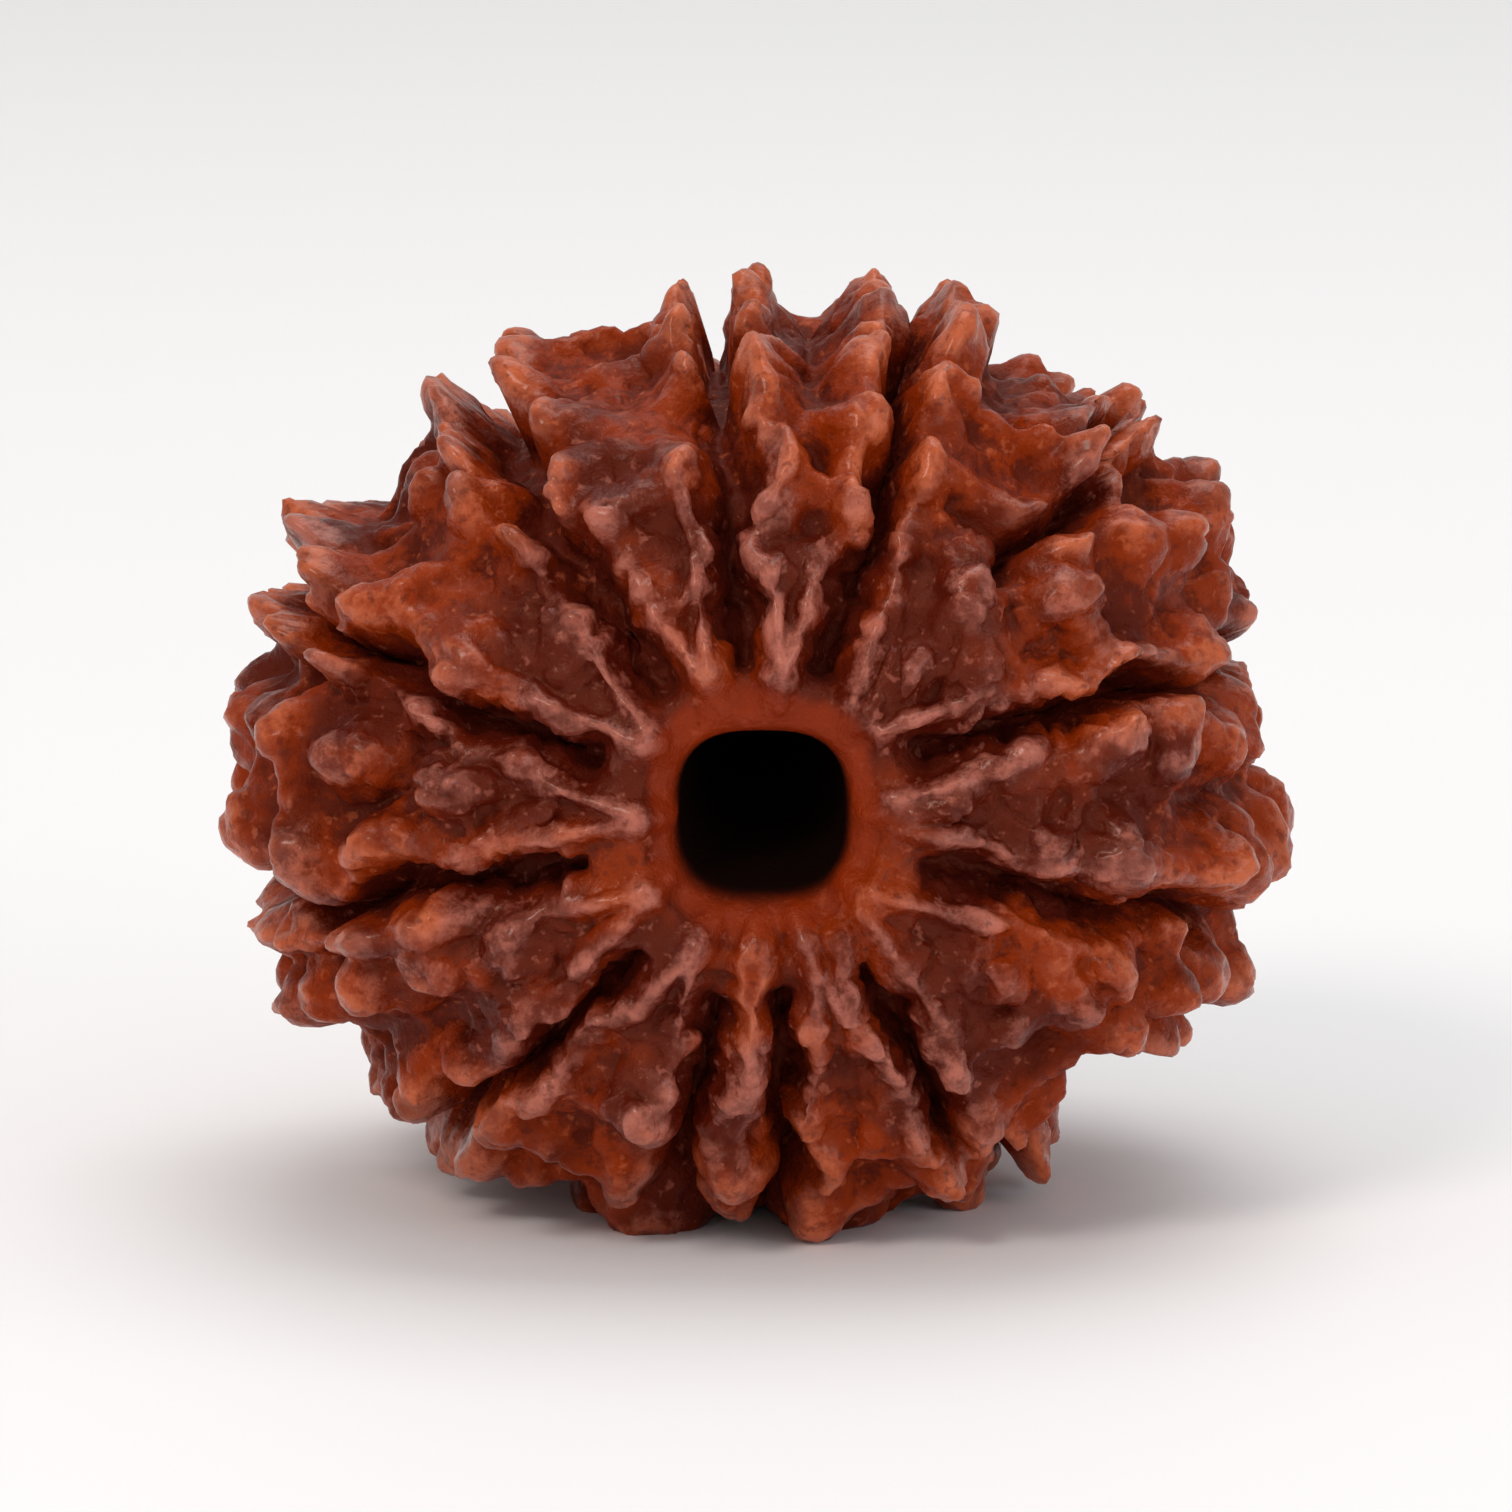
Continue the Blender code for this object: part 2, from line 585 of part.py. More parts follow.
def ground_cutter():
    """A block whose top is the surface that the bead stands on. It cuts the feet flat."""
    side, deep = 20 * MM, 4 * MM
    bpy.ops.mesh.primitive_cube_add(size=1, location=(0, 0, -deep / 2), scale=(side, side, deep))
    cutter = bpy.context.object
    cutter.name = "ground_cutter"
    bpy.ops.object.transform_apply(location=True, scale=True)
    cutter.hide_render = True
    cutter.display_type = "WIRE"
    return cutter


def build_bead():
    mesh = grid_mesh("rudraksha_bead", bead_points(ROWS, COLUMNS))
    mesh.materials.append(stone_material())
    bead = bpy.data.objects.new("rudraksha_bead", mesh)
    bpy.context.scene.collection.objects.link(bead)
    fewer = bead.modifiers.new("fewer_faces", "DECIMATE")
    fewer.ratio = TRIANGLES / (2 * ROWS * COLUMNS)
    fewer.use_collapse_triangulate = True
    flat = bead.modifiers.new("flat_feet", "BOOLEAN")
    flat.operation = "DIFFERENCE"
    flat.object = ground_cutter()
    return bead


def main():
    for thing in list(bpy.data.objects):
        bpy.data.objects.remove(thing)
    build_bead()


main()
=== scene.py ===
import itertools
import math

import bpy
import numpy as np
from bpy.props import FloatProperty, FloatVectorProperty, PointerProperty
from bpy.types import Operator, Panel, PropertyGroup
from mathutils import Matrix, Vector


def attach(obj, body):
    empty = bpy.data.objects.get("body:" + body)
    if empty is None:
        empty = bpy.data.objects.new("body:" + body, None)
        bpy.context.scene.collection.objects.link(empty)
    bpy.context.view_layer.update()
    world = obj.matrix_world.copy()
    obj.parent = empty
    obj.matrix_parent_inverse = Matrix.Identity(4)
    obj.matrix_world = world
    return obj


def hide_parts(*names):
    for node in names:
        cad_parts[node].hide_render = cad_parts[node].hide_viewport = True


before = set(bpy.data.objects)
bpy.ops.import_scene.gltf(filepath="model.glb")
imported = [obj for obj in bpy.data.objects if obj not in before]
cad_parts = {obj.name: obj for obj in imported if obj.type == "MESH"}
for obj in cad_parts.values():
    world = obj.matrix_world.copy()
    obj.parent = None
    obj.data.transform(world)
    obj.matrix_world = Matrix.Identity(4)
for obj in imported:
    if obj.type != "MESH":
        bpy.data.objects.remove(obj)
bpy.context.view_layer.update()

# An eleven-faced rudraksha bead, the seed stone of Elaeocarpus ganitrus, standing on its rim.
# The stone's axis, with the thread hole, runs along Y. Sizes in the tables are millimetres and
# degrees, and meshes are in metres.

bl_info = {
    "name": "Rudraksha bead",
    "version": (1, 0, 0),
    "blender": (4, 5, 0),
    "location": "3D View > Sidebar > Bead",
    "description": "A knobbly eleven-faced seed-stone bead and a plain studio",
    "category": "Add Mesh",
}

MM = 0.001
FULL_TURN = 2 * math.pi

# Driving sizes, in millimetres
AXIS_HEIGHT = 12.5  # the bead's axis above the surface it stands on
AXIS_ASIDE = 0.17  # the axis to the right of the middle of the bead's width
RIM_RADIUS = 12.2  # the body under its knobs, at the rim
RIM_WIDER = 0.55  # how much more than that it measures to the sides, and less up and down
FACE_DEPTH = 11.3  # from the middle plane to the ring round each mouth of the hole
MOUTH_RADIUS = 2.35
MOUTH_SQUARENESS = 0.05  # share by which the hole is wider across its corners than that
SQUARE_UNTIL = (2.5, 4.5)  # the squareness fades away between these distances from the axis
WAIST_RADIUS = 1.1  # the hole at its narrowest, half way through
BORE_RISE = 1.3  # how far the middle of the hole lies above its mouths

# Half of the bead's section: distance from the axis, and depth from the middle plane
HALF_SECTION = (
    (WAIST_RADIUS, 0.0),
    (1.25, 3.0),
    (1.65, 5.6),
    (2.05, 8.0),
    (2.25, 9.6),
    (MOUTH_RADIUS, 10.6),
    (2.7, 11.15),
    (3.3, FACE_DEPTH),
    (4.2, 11.2),
    (5.2, 10.95),
    (7.0, 10.3),
    (9.1, 8.9),
    (10.9, 6.4),
    (11.9, 3.4),
    (RIM_RADIUS, 0.0),
)

# The furrows between the faces: angles from +X towards +Z at the front mouth of the hole, at
# the rim and at the back mouth, how many times the usual width each is at the rim and near
# the mouths, and how far from the axis it begins
FURROWS = (
    (26, 11.5, 22, 1.1, 0.75, 3.6),
    (68, 71, 66, 1.0, 1.15, 3.5),
    (96, 97, 96.5, 2.3, 1.0, 3.5),
    (126, 127.5, 129, 1.9, 1.2, 3.6),
    (160, 159.5, 163, 1.0, 1.0, 3.8),
    (194, 194.5, 196, 1.0, 0.9, 4.1),
    (228, 227, 224, 1.0, 0.65, 4.2),
    (257, 259, 258, 1.0, 0.9, 4.5),
    (276, 274, 279, 1.0, 0.85, 4.1),
    (304, 301, 306, 1.0, 0.7, 4.1),
    (344, 342.5, 341, 1.1, 1.1, 3.7),
)
FURROW_HALF_WIDTHS = (0.5, 0.36)  # near the mouths, and at the rim
FURROW_DEPTHS = (1.4, 1.1)
FURROW_ROOM = 0.11  # its half width is at most this share of the distance from the axis
FURROW_STEEP = 2.6  # the power that makes its walls steep and its floor flat
FURROW_UNEVEN = 0.3  # share by which its width comes and goes, over the length below
FURROW_UNEVEN_LENGTH = 3.1
FURROW_UNEVEN_SHIFT = 0.27  # from one furrow to the next, as a share of that length
FURROW_RUN_IN = 1.1  # it reaches its full depth this far beyond where it begins
FURROW_SWAY = 0.35  # how far it strays from its line, on its way over the rim
FURROW_SWAY_LENGTH = 7.0
FURROW_SWAY_SHIFT = 0.38  # from one furrow to the next, as a share of that length
RIM_STARTS = (7.5, 10.5)  # a face turns into the rim between these distances from the axis
LIP_OFFSET = 0.95  # from a furrow's middle to the crest of the lip beside it
LIP_ROOM = 0.25  # that is at most this share of the distance from the axis
LIP_HALF_WIDTH = 0.3
LIP_HEIGHT = 0.5
LIP_LOWER = 0.3  # its share of that at the rim
LIP_FADES = (4.8, 9.0)  # it is lowered between these distances from the axis
RING_EDGE = 2.8  # the smooth ring round a mouth reaches this far from the axis
RING_HIGHER = 0.75  # and this much farther above the hole
RING_UNEVEN = 0.12  # how much its reach comes and goes round the hole
FACE_STEP = 0.3  # how far the faces stand above the ring
STEP_RUN = 0.7  # how far that step takes
MOUTH_EDGE = (-0.7, 0.0)  # no relief this far inside the ring's crest, and all of it from there on
TIP_BEYOND = 0.6  # from the ring's edge to the small bump at each face's inner tip
TIP_HALF_SIZES = (0.8, 0.45)  # away from the hole, and across
TIP_HEIGHT = 0.5

# Two smooth ridges that run out from the front mouth: angle and distance from the axis at both ends
RIDGES = ((3, 3.7, 20, 8.2), (304, 3.2, 293, 6.0))
RIDGE_HALF_WIDTH = 0.4
RIDGE_HEIGHT = 0.9

# A half-formed furrow in the widest face, which stays short of the mouths
CREASE = (47, 43, 45)
CREASE_DEPTH = 1.1
CREASE_STARTS = (7.4, 9.4)  # none within the first distance from the axis, all beyond the second

# The outline of the rim as seen from a little above the axis: angle, and distance from its
# middle. Its high points are knobs, and its low points are furrows and gaps between knobs.
RIM_OUTLINE = (
    (-10, 15.2),
    (-5, 14.8),
    (-1, 13.5),
    (3.5, 13.8),
    (8, 13.8),
    (11.3, 13.2),
    (14.3, 13.9),
    (17, 14.3),
    (21, 14.2),
    (27, 14.8),
    (32, 15.0),
    (38, 13.8),
    (42, 14.8),
    (44.5, 14.7),
    (52, 13.4),
    (57, 12.4),
    (60.5, 12.7),
    (62.5, 14.4),
    (67.5, 14.5),
    (69.7, 13.2),
    (75.5, 13.8),
    (77.5, 13.6),
    (83.5, 12.0),
    (87, 12.4),
    (90.7, 13.6),
    (93.3, 13.6),
    (94.9, 11.0),
    (98, 11.0),
    (99, 13.8),
    (103.5, 12.9),
    (106, 12.7),
    (114, 13.1),
    (123, 13.9),
    (124.6, 12.0),
    (127.5, 11.2),
    (129.6, 12.2),
    (131.5, 14.2),
    (136, 13.0),
    (145, 12.7),
    (149, 13.0),
    (152.3, 15.1),
    (155.8, 14.6),
    (158.5, 13.2),
    (161.5, 14.9),
    (167.5, 13.9),
    (174, 14.9),
    (180, 14.8),
    (187, 15.0),
    (192, 13.8),
    (194.5, 14.1),
    (198, 15.1),
    (202, 14.7),
    (207, 15.2),
    (216, 14.1),
    (221, 14.6),
    (227, 14.1),
    (231.5, 15.0),
    (238, 14.3),
    (244, 13.7),
    (251, 14.2),
    (256, 14.1),
    (261, 13.9),
    (267, 14.0),
    (273, 13.6),
    (278, 14.1),
    (288, 13.0),
    (295.7, 14.0),
    (300, 13.8),
    (303.4, 14.5),
    (306.5, 13.9),
    (314, 12.3),
    (319.5, 12.1),
    (322.5, 12.7),
    (325.8, 14.4),
    (329, 14.1),
    (334, 15.3),
    (342, 14.0),
    (345, 14.8),
)
OUTLINE_LOWER = 0.2  # how far its middle lies below the axis
SEEN_TALLER = 0.3  # what the view from above adds to the outline, at its top and bottom
OUTLINE_FLOOR = 9.5  # heights above this radius are stretched or shrunk to fit the outline
OUTLINE_STRETCH = (0.2, 1.5)  # the least and the most
OUTLINE_BELT = (4.5, 9.0)  # it is done fully within the first distance of the middle plane
OUTLINE_EASING = 0.3  # the fit goes by the highest ground within about this distance
OUTLINE_REACH = 1.5  # as many times that distance are searched for it
SADDLE_LENGTH = 1.6  # a furrow too deep for the outline is filled this far round the rim's middle

# Knobs stand in rows that run from mouth to mouth, one row from each high point of the rim
KNOB_PITCH = 2.6
KNOB_PITCHES = (0.8, 1.2)  # the least and the most, as shares of that
KNOB_ASTRAY = 0.35  # how far a knob may stand from its place along the row
KNOB_ASIDE = 0.05  # and across it, as a share of its face's width
KNOB_HEIGHTS = (1.2, 2.0)
KNOB_ALONG = (1.0, 1.55)  # half sizes
KNOB_ACROSS = (0.95, 1.3)
KNOB_LEAST_GAP = 1.1  # a knob is no wider than the gap to the next row, or than this
KNOB_SHRINKS = (0.4, 0.7)  # the powers by which it gets shorter and narrower near the mouths
KNOB_TURN = 40  # degrees either way
KNOBS_START = 5.6  # distance from the axis where the rows begin
KNOBS_GROW = (3.5, 11.0)  # they grow from nothing to full height between these distances
LINK_HALF_WIDTH = 0.6
LINK_HEIGHT = 0.62  # of the lower knob of the two that a link joins
LINK_CHANCES = (0.6, 0.5)  # that a knob is joined to the next one in its row, or in the next row
KNOB_WINDOW = 1.7  # a knob is as good as flat beyond this many half sizes
KNOB_BLUNT = 1.3  # the power that makes a knob's top blunt and its sides steep
ROUNDING = 4  # the power by which shapes melt into each other; a higher one is crisper
RIPPLE = 0.16  # height of the uneven ground between the knobs
RIPPLE_LENGTH = 2.6
WANDER = 0.26  # how far the relief is pushed about sideways
WANDER_LENGTH = 4.0
WANDER_STARTS = (5.5, 9.5)  # none within the first distance from the axis, all beyond the second
WANDER_OFF_RIM = (1.0, 6.0)  # and none, or all, this far from the middle of the rim

# Knobs that the bead stands on, two to each side of its weight: angle, and Y
FEET = ((255.0, -5.2), (253.5, 3.4), (279.5, -4.3), (280.0, 3.1))
FOOT_HALF_SIZE = 1.7
FOOT_WORN = 0.3  # how much of each foot is cut off by the surface
FOOT_EDGE = 0.6  # a foot that is lower than this at some point blends into the ground there

# The fine relief that only a close look shows
WART_SIZES = (1.45, 0.72)  # spacing of the larger and the smaller warts
WART_HEIGHTS = (0.5, 0.3)
WART_LEVEL = 0.4  # of a wart's height above and below the plain ground, this much is above
WART_TWIST = 0.35  # how far they are pushed out of round
WRINKLE_LENGTH = 2.2  # from one wrinkle to the next
WRINKLE_WIDTH = 0.2  # as a share of the waves whose middle level it follows
WRINKLE_DEPTH = 0.16
PIT_SPACING = 1.7
PIT_HALF_WIDTH = 0.22  # as a share of that spacing
PIT_DEPTH = 0.3
GRAIN_LENGTH = 0.5  # of the ripple that lies over everything
GRAIN_WAVES = 30  # how many sine waves it is made of
GRAIN_HEIGHT = 0.025
LIP_WEAR_AND_HIGHLIGHT = 0.35  # the lips beside the furrows are paler than other crests by this much, partly from wear and partly as painted highlight
FINE_RUN = (3.6, 6.0)  # the fine relief grows to its full height between these distances out
FINE_LEAST = 0.4  # its share of that nearest the hole
FINE_AT_RIM = 0.55  # and its share at the rim
FINE_OFF_LIPS = 0.6  # the lips beside the furrows have this much less of it
WEAR_AND_SHADE_REACH = (0.45, 1.6)  # ground is a crest or a hollow against what lies this far round it; crests get wear and painted highlight, hollows painted shade
WEAR_AND_SHADE_SHARES = (0.8, 0.3)  # how much each of these two counts for
WEAR_AND_HIGHLIGHT_MOST = 1.4  # the value of the most rubbed crests, with the strongest painted highlight; plain ground has 0.5
BORE_ENDS = (2.3, 2.6)  # the bore's wall, painted near black as shade, gives way to the ring between these distances out

COLUMNS = 760
ROWS = 520
TRIANGLES = 190000
SEED = 11
SPOT_COUNT = 4096  # scattered spots before their places repeat
SPOT_STEPS = (73856093, 19349663, 83492791)  # large primes that number the cells of the spots

# Patterns in the stone's colour: size in millimetres, detail and roughness of the noise
PATCHES = (3.6, 3, 0.5)
SHADE = (2.3, 3, 0.6)
MOTTLE = (0.75, 4, 0.7)
FLECKS = (0.42, 2, 0.6)
GRAIN = (0.28, 3, 0.6)

# Where each colour starts and where it is full, and its least and its most share if not 0 and 1
MOTTLE_EDGES = (0.34, 0.66)
MOTTLE_SHARE = 0.5  # how far the mottle makes the borders of all other colours uneven
AMBER_EDGES = (0.45, 0.65)
AMBER_AT_RIM = 0.12  # how much more of it there is at the rim
# the hollow colour, painted shade over the dark of oil and dust, gives way to the flank between
# these
FLANK_EDGES = (0.3, 0.8)
RIM_CREST_EDGES = (0.5, 0.7)
RIM_CREST_AT_RIM = 0.2
# the worn crest colour, partly wear and partly painted highlight, spreads between these
CREST_EDGES = (0.95, 2.0)
SHADE_EDGES = (0.52, 0.64, 0, 0.5)
DARK_FLECK_EDGES = (0.58, 0.7, 0, 0.55)
PALE_FLECK_EDGES = (0.4, 0.28, 0, 0.4)
RING_COLOUR_EDGES = (0.6, 1.5, 0, 0.75)
RING_MOTTLE = 0.8  # how uneven the ring's colour is

# The gloss of the stone
ROUGH_EDGES = (0.4, 1.1, 0.5, 0.26)  # rougher in the hollows than on the rubbed crests
ROUGH_GRAIN = 0.14
POLISH_EDGES = (1.8, 2.6)  # the film of oil shines on the rubbed crests, and not in the bore
SHEEN_EDGES = (0, 1, 0, 0.32)  # none in the bore
SHEEN_AT_RIM = -0.14
SHEEN_TINT = (1.0, 0.5, 0.34, 1.0)  # light that the red-brown shell throws back is tinted by it
SHELL_IOR = 1.5
OIL_IOR = 1.47
OIL_ROUGHNESS = 0.18
POCKMARKS = 0.15  # millimetres, the depth of the unevenness too small for the mesh
POCKMARK_GRAIN = 0.5
POCKMARK_STRENGTH = 0.7

# The studio, in metres, watts and sRGB colours
SWEEP_HALF_WIDTH = 1.5
SWEEP_FRONT = -1.5
SWEEP_BACK = 0.9
SWEEP_BEND = 0.35  # the radius in which the paper turns from the floor into the background
SWEEP_BEND_STEPS = 12
SWEEP_TOP = 1.6
SOFTBOXES = (  # name, place, side, power and colour
    ("key_softbox", (-0.26, -0.36, 0.42), 0.16, 1.05, "#fff6ee"),
    ("fill_softbox", (0.42, -0.36, 0.2), 0.3, 0.6, "#f2f5ff"),
    ("top_softbox", (0.05, 0.12, 0.5), 0.35, 1.02, "#ffffff"),
)
ROOM_COLOUR = "#eff6f2"
ROOM_STRENGTH = 0.63
VIEW_HEIGHT = 12.2  # millimetres, the height that the camera looks at


def linear(code):
    """An sRGB hex colour as linear red, green and blue."""
    values = [int(code[place : place + 2], 16) / 255 for place in (1, 3, 5)]
    return tuple(v / 12.92 if v <= 0.04045 else ((v + 0.055) / 1.055) ** 2.4 for v in values)


class BeadRelief(PropertyGroup):
    """Sizes of the stone's fine relief."""

    wart_height: FloatProperty(
        name="Wart height", description="Height of the small warts on the knobs",
        default=WART_HEIGHTS[0] * MM, min=0, unit="LENGTH",
    )
    pit_depth: FloatProperty(
        name="Pit depth", description="Depth of the small pits between the warts",
        default=PIT_DEPTH * MM, min=0, unit="LENGTH",
    )
    grain_height: FloatProperty(
        name="Grain height", description="Height of the fine ripple all over the stone",
        default=GRAIN_HEIGHT * MM, min=0, unit="LENGTH",
    )


class BeadLooks(PropertyGroup):
    """Colours and gloss of the oiled stone."""

    flank: FloatVectorProperty(
        name="Flank", description="The stone's main red-brown", subtype="COLOR",
        default=linear("#541204"), min=0, max=1,
    )
    amber: FloatVectorProperty(
        name="Amber", description="Lighter orange-brown patches", subtype="COLOR",
        default=linear("#8b2b03"), min=0, max=1,
    )
    # Partly wear and partly painted highlight: the paler colour laid on the highest crests
    crest: FloatVectorProperty(
        name="Crest", description="Rubbed tops of knobs and ridges", subtype="COLOR",
        default=linear("#b66655"), min=0, max=1,
    )
    # Partly wear and partly painted highlight: the paler, more orange colour laid on the highest
    # crests at the rim
    rim_crest: FloatVectorProperty(
        name="Rim crest", description="Rubbed tops of knobs at the rim", subtype="COLOR",
        default=linear("#c3603b"), min=0, max=1,
    )
    # Painted shade: this colour fills the furrows and pits by how low they lie, over the real dark
    # of oil and dust there
    hollow: FloatVectorProperty(
        name="Hollow", description="Furrows and pits, dark with oil and dust", subtype="COLOR",
        default=linear("#5a180a"), min=0, max=1,
    )
    ring: FloatVectorProperty(
        name="Ring", description="The smooth ring round each mouth of the hole", subtype="COLOR",
        default=linear("#8e2a08"), min=0, max=1,
    )
    # Painted shade: the bore's wall is painted near black, as the shade deep in the hole looks
    bore: FloatVectorProperty(
        name="Bore", description="The wall of the thread hole", subtype="COLOR",
        default=linear("#170a07"), min=0, max=1,
    )
    oil_film: FloatProperty(
        name="Oil film", description="How much of a clear gloss lies over the rubbed crests",
        default=0.35, min=0, max=1, subtype="FACTOR",
    )


class BeadStudio(PropertyGroup):
    """The camera, the floor and the lights."""

    camera_distance: FloatProperty(
        name="Camera distance", description="From the camera to the bead's middle",
        default=0.25, min=0.05, unit="LENGTH",
    )
    camera_elevation: FloatProperty(
        name="Camera elevation", description="Angle of the camera above the floor",
        default=math.radians(10.5), subtype="ANGLE",
    )
    view_width: FloatProperty(
        name="View width", description="Width that the picture takes in at the bead",
        default=0.0421, min=0.01, unit="LENGTH",
    )
    floor_colour: FloatVectorProperty(
        name="Floor", description="The pale paper under and behind the bead", subtype="COLOR",
        default=linear("#f7f3f5"), min=0, max=1,
    )


def smooth_step(low, high, value):
    """0 below low, 1 above high, and a smooth rise between them."""
    share = np.clip((value - low) / (high - low), 0.0, 1.0)
    return share * share * (3 - 2 * share)


def turn_between(angles, start):
    """The shorter turn from start to each angle."""
    return (angles - start + math.pi) % FULL_TURN - math.pi


def closed_curve(points, steps=24):
    """A smooth closed curve through the points, by Catmull and Rom's rule."""
    points = np.asarray(points, float)
    share = (np.arange(steps) / steps)[:, None]
    before, after, beyond = (np.roll(points, shift, axis=0) for shift in (1, -1, -2))
    pieces = []
    for a, b, c, d in zip(before, points, after, beyond):
        pieces.append(
            b
            + share / 2 * (c - a)
            + share**2 * (a - 2.5 * b + 2 * c - d / 2)
            + share**3 * (1.5 * (b - c) + (d - a) / 2)
        )
    return np.concatenate(pieces)


def ring_edge(angles):
    """How far from the axis the ring round a mouth reaches at each angle."""
    uneven = (np.sin(3 * angles + 0.8) + np.sin(7 * angles + 2.1)) * RING_UNEVEN
    return RING_EDGE + RING_HIGHER * smooth_step(0.4, 1, np.sin(angles)) + uneven


class Skin:
    """The bead's plain surface as a grid, rows along its section and columns round its axis."""

    def __init__(self, rows, columns):
        front = [(radius, -depth) for radius, depth in HALF_SECTION]
        back = [(radius, depth) for radius, depth in HALF_SECTION[-2:0:-1]]
        curve = closed_curve(front + back)
        steps = np.linalg.norm(np.roll(curve, -1, axis=0) - curve, axis=1)
        run = np.concatenate([[0], np.cumsum(steps)])
        curve = np.vstack([curve, curve[:1]])
        places = np.arange(rows) / rows * run[-1]
        self.radius = np.interp(places, run, curve[:, 0])
        self.y = np.interp(places, run, curve[:, 1])
        ahead = np.roll(np.stack([self.radius, self.y]), -1, axis=1)
        behind = np.roll(np.stack([self.radius, self.y]), 1, axis=1)
        along = ahead - behind
        along /= np.linalg.norm(along, axis=0)
        self.out_radius, self.out_y = along[1], -along[0]
        self.arc = places - run[-1] / 2  # 0 at the rim, and negative in front
        crest = np.argmin(np.where(self.radius > MOUTH_RADIUS, self.y, 0))
        self.reach = -self.arc[crest]  # from the rim to the ring round a mouth
        self.angles = np.arange(columns) / columns * FULL_TURN
        self.level = np.clip(self.arc / self.reach, -1, 1)
        self.outer = smooth_step(*MOUTH_EDGE, self.reach - np.abs(self.arc))
        beyond = self.radius[:, None] - ring_edge(self.angles)
        self.faces = smooth_step(0, STEP_RUN, beyond) * self.outer[:, None]
        self.rim = smooth_step(*RIM_STARTS, self.radius)

    def widened(self):
        """Distance from the axis at every grid point: the bead is wider than it is tall, and
        its hole is a little square."""
        share = (self.radius / RIM_RADIUS) ** 2
        square = MOUTH_SQUARENESS * (1 - smooth_step(*SQUARE_UNTIL, self.radius)) * self.radius
        wider = np.outer(share, RIM_WIDER * np.cos(2 * self.angles))
        return self.radius[:, None] + wider - np.outer(square, np.cos(4 * self.angles))

    def points(self, relief):
        """The grid's points, in millimetres, with relief raised from the plain surface."""
        radius = self.widened() + relief * self.out_radius[:, None]
        y = self.y[:, None] + relief * self.out_y[:, None]
        return np.stack(
            [radius * np.cos(self.angles), y, radius * np.sin(self.angles)], axis=-1
        )


def furrow_angle(furrow, level):
    """A furrow's angle at each level, from -1 at the front mouth to 1 at the back one."""
    front, rim, back = np.radians(furrow[:3])
    return rim + (back - front) / 2 * level + ((back + front) / 2 - rim) * level**2


def waves(points, length, seed, count=14):
    """Smooth noise from about -1 to 1: sine waves of about this length in all directions."""
    draw = np.random.default_rng(seed)
    total = np.zeros(points.shape[:-1])
    for _ in range(count):
        direction = draw.normal(size=3)
        direction /= np.linalg.norm(direction)
        pitch = FULL_TURN / (length * draw.uniform(0.7, 1.4))
        total += np.sin(points @ direction * pitch + draw.uniform(0, FULL_TURN))
    return total * math.sqrt(2 / count) / 1.6


def raise_dome(swell, skin, angle, arc, along, across, turn, height):
    """Adds one rounded knob to swell, the sum of every shape's height to the ROUNDING."""
    reach = KNOB_WINDOW * max(along, across)
    rows = np.flatnonzero(np.abs(skin.arc - arc) < reach)
    if not len(rows):
        return
    swing = turn_between(skin.angles, angle)
    columns = np.flatnonzero(np.abs(swing) * skin.radius[rows].min() < reach)
    side = swing[columns][None, :] * skin.radius[rows][:, None]
    ahead = (skin.arc[rows] - arc)[:, None]
    spread = (ahead * math.cos(turn) + side * math.sin(turn)) ** 2 / along**2
    spread += (side * math.cos(turn) - ahead * math.sin(turn)) ** 2 / across**2
    swell[np.ix_(rows, columns)] += (height * np.exp(-(spread**KNOB_BLUNT))) ** ROUNDING


def raise_link(swell, skin, start, end, half_width):
    """Adds a ridge from one knob to another. Each is (angle, arc, height)."""
    swing = float(turn_between(np.array(end[0]), start[0]))
    middle = np.interp((start[1] + end[1]) / 2, skin.arc, skin.radius)
    length = math.hypot(swing * middle, end[1] - start[1])
    count = max(2, round(length / (half_width * 0.9)))
    height = LINK_HEIGHT * min(start[2], end[2])
    for step in range(1, count):
        share = step / count
        angle, arc = start[0] + swing * share, start[1] + (end[1] - start[1]) * share
        raise_dome(swell, skin, angle, arc, half_width, half_width, 0, height)


def knob_rows():
    """The rim's high points, as (face, place across the face from 0 to 1, gap to the next)."""
    high = [
        spot[0] % 360
        for before, spot, after in zip(
            RIM_OUTLINE[-1:] + RIM_OUTLINE[:-1], RIM_OUTLINE, RIM_OUTLINE[1:] + RIM_OUTLINE[:1]
        )
        if spot[1] >= max(before[1], after[1])
    ]
    rows = []
    for face, furrow in enumerate(FURROWS):
        start, width = furrow[1], (FURROWS[(face + 1) % len(FURROWS)][1] - furrow[1]) % 360
        places = sorted((angle - start) % 360 / width for angle in high)
        inside = [place for place in places if place < 1]
        edges = [0, *inside, 1]
        for left, place, right in zip(edges, inside, edges[2:]):
            gap = min(place - left, right - place) * math.radians(width) * RIM_RADIUS
            rows.append((face, place, gap))
    return rows


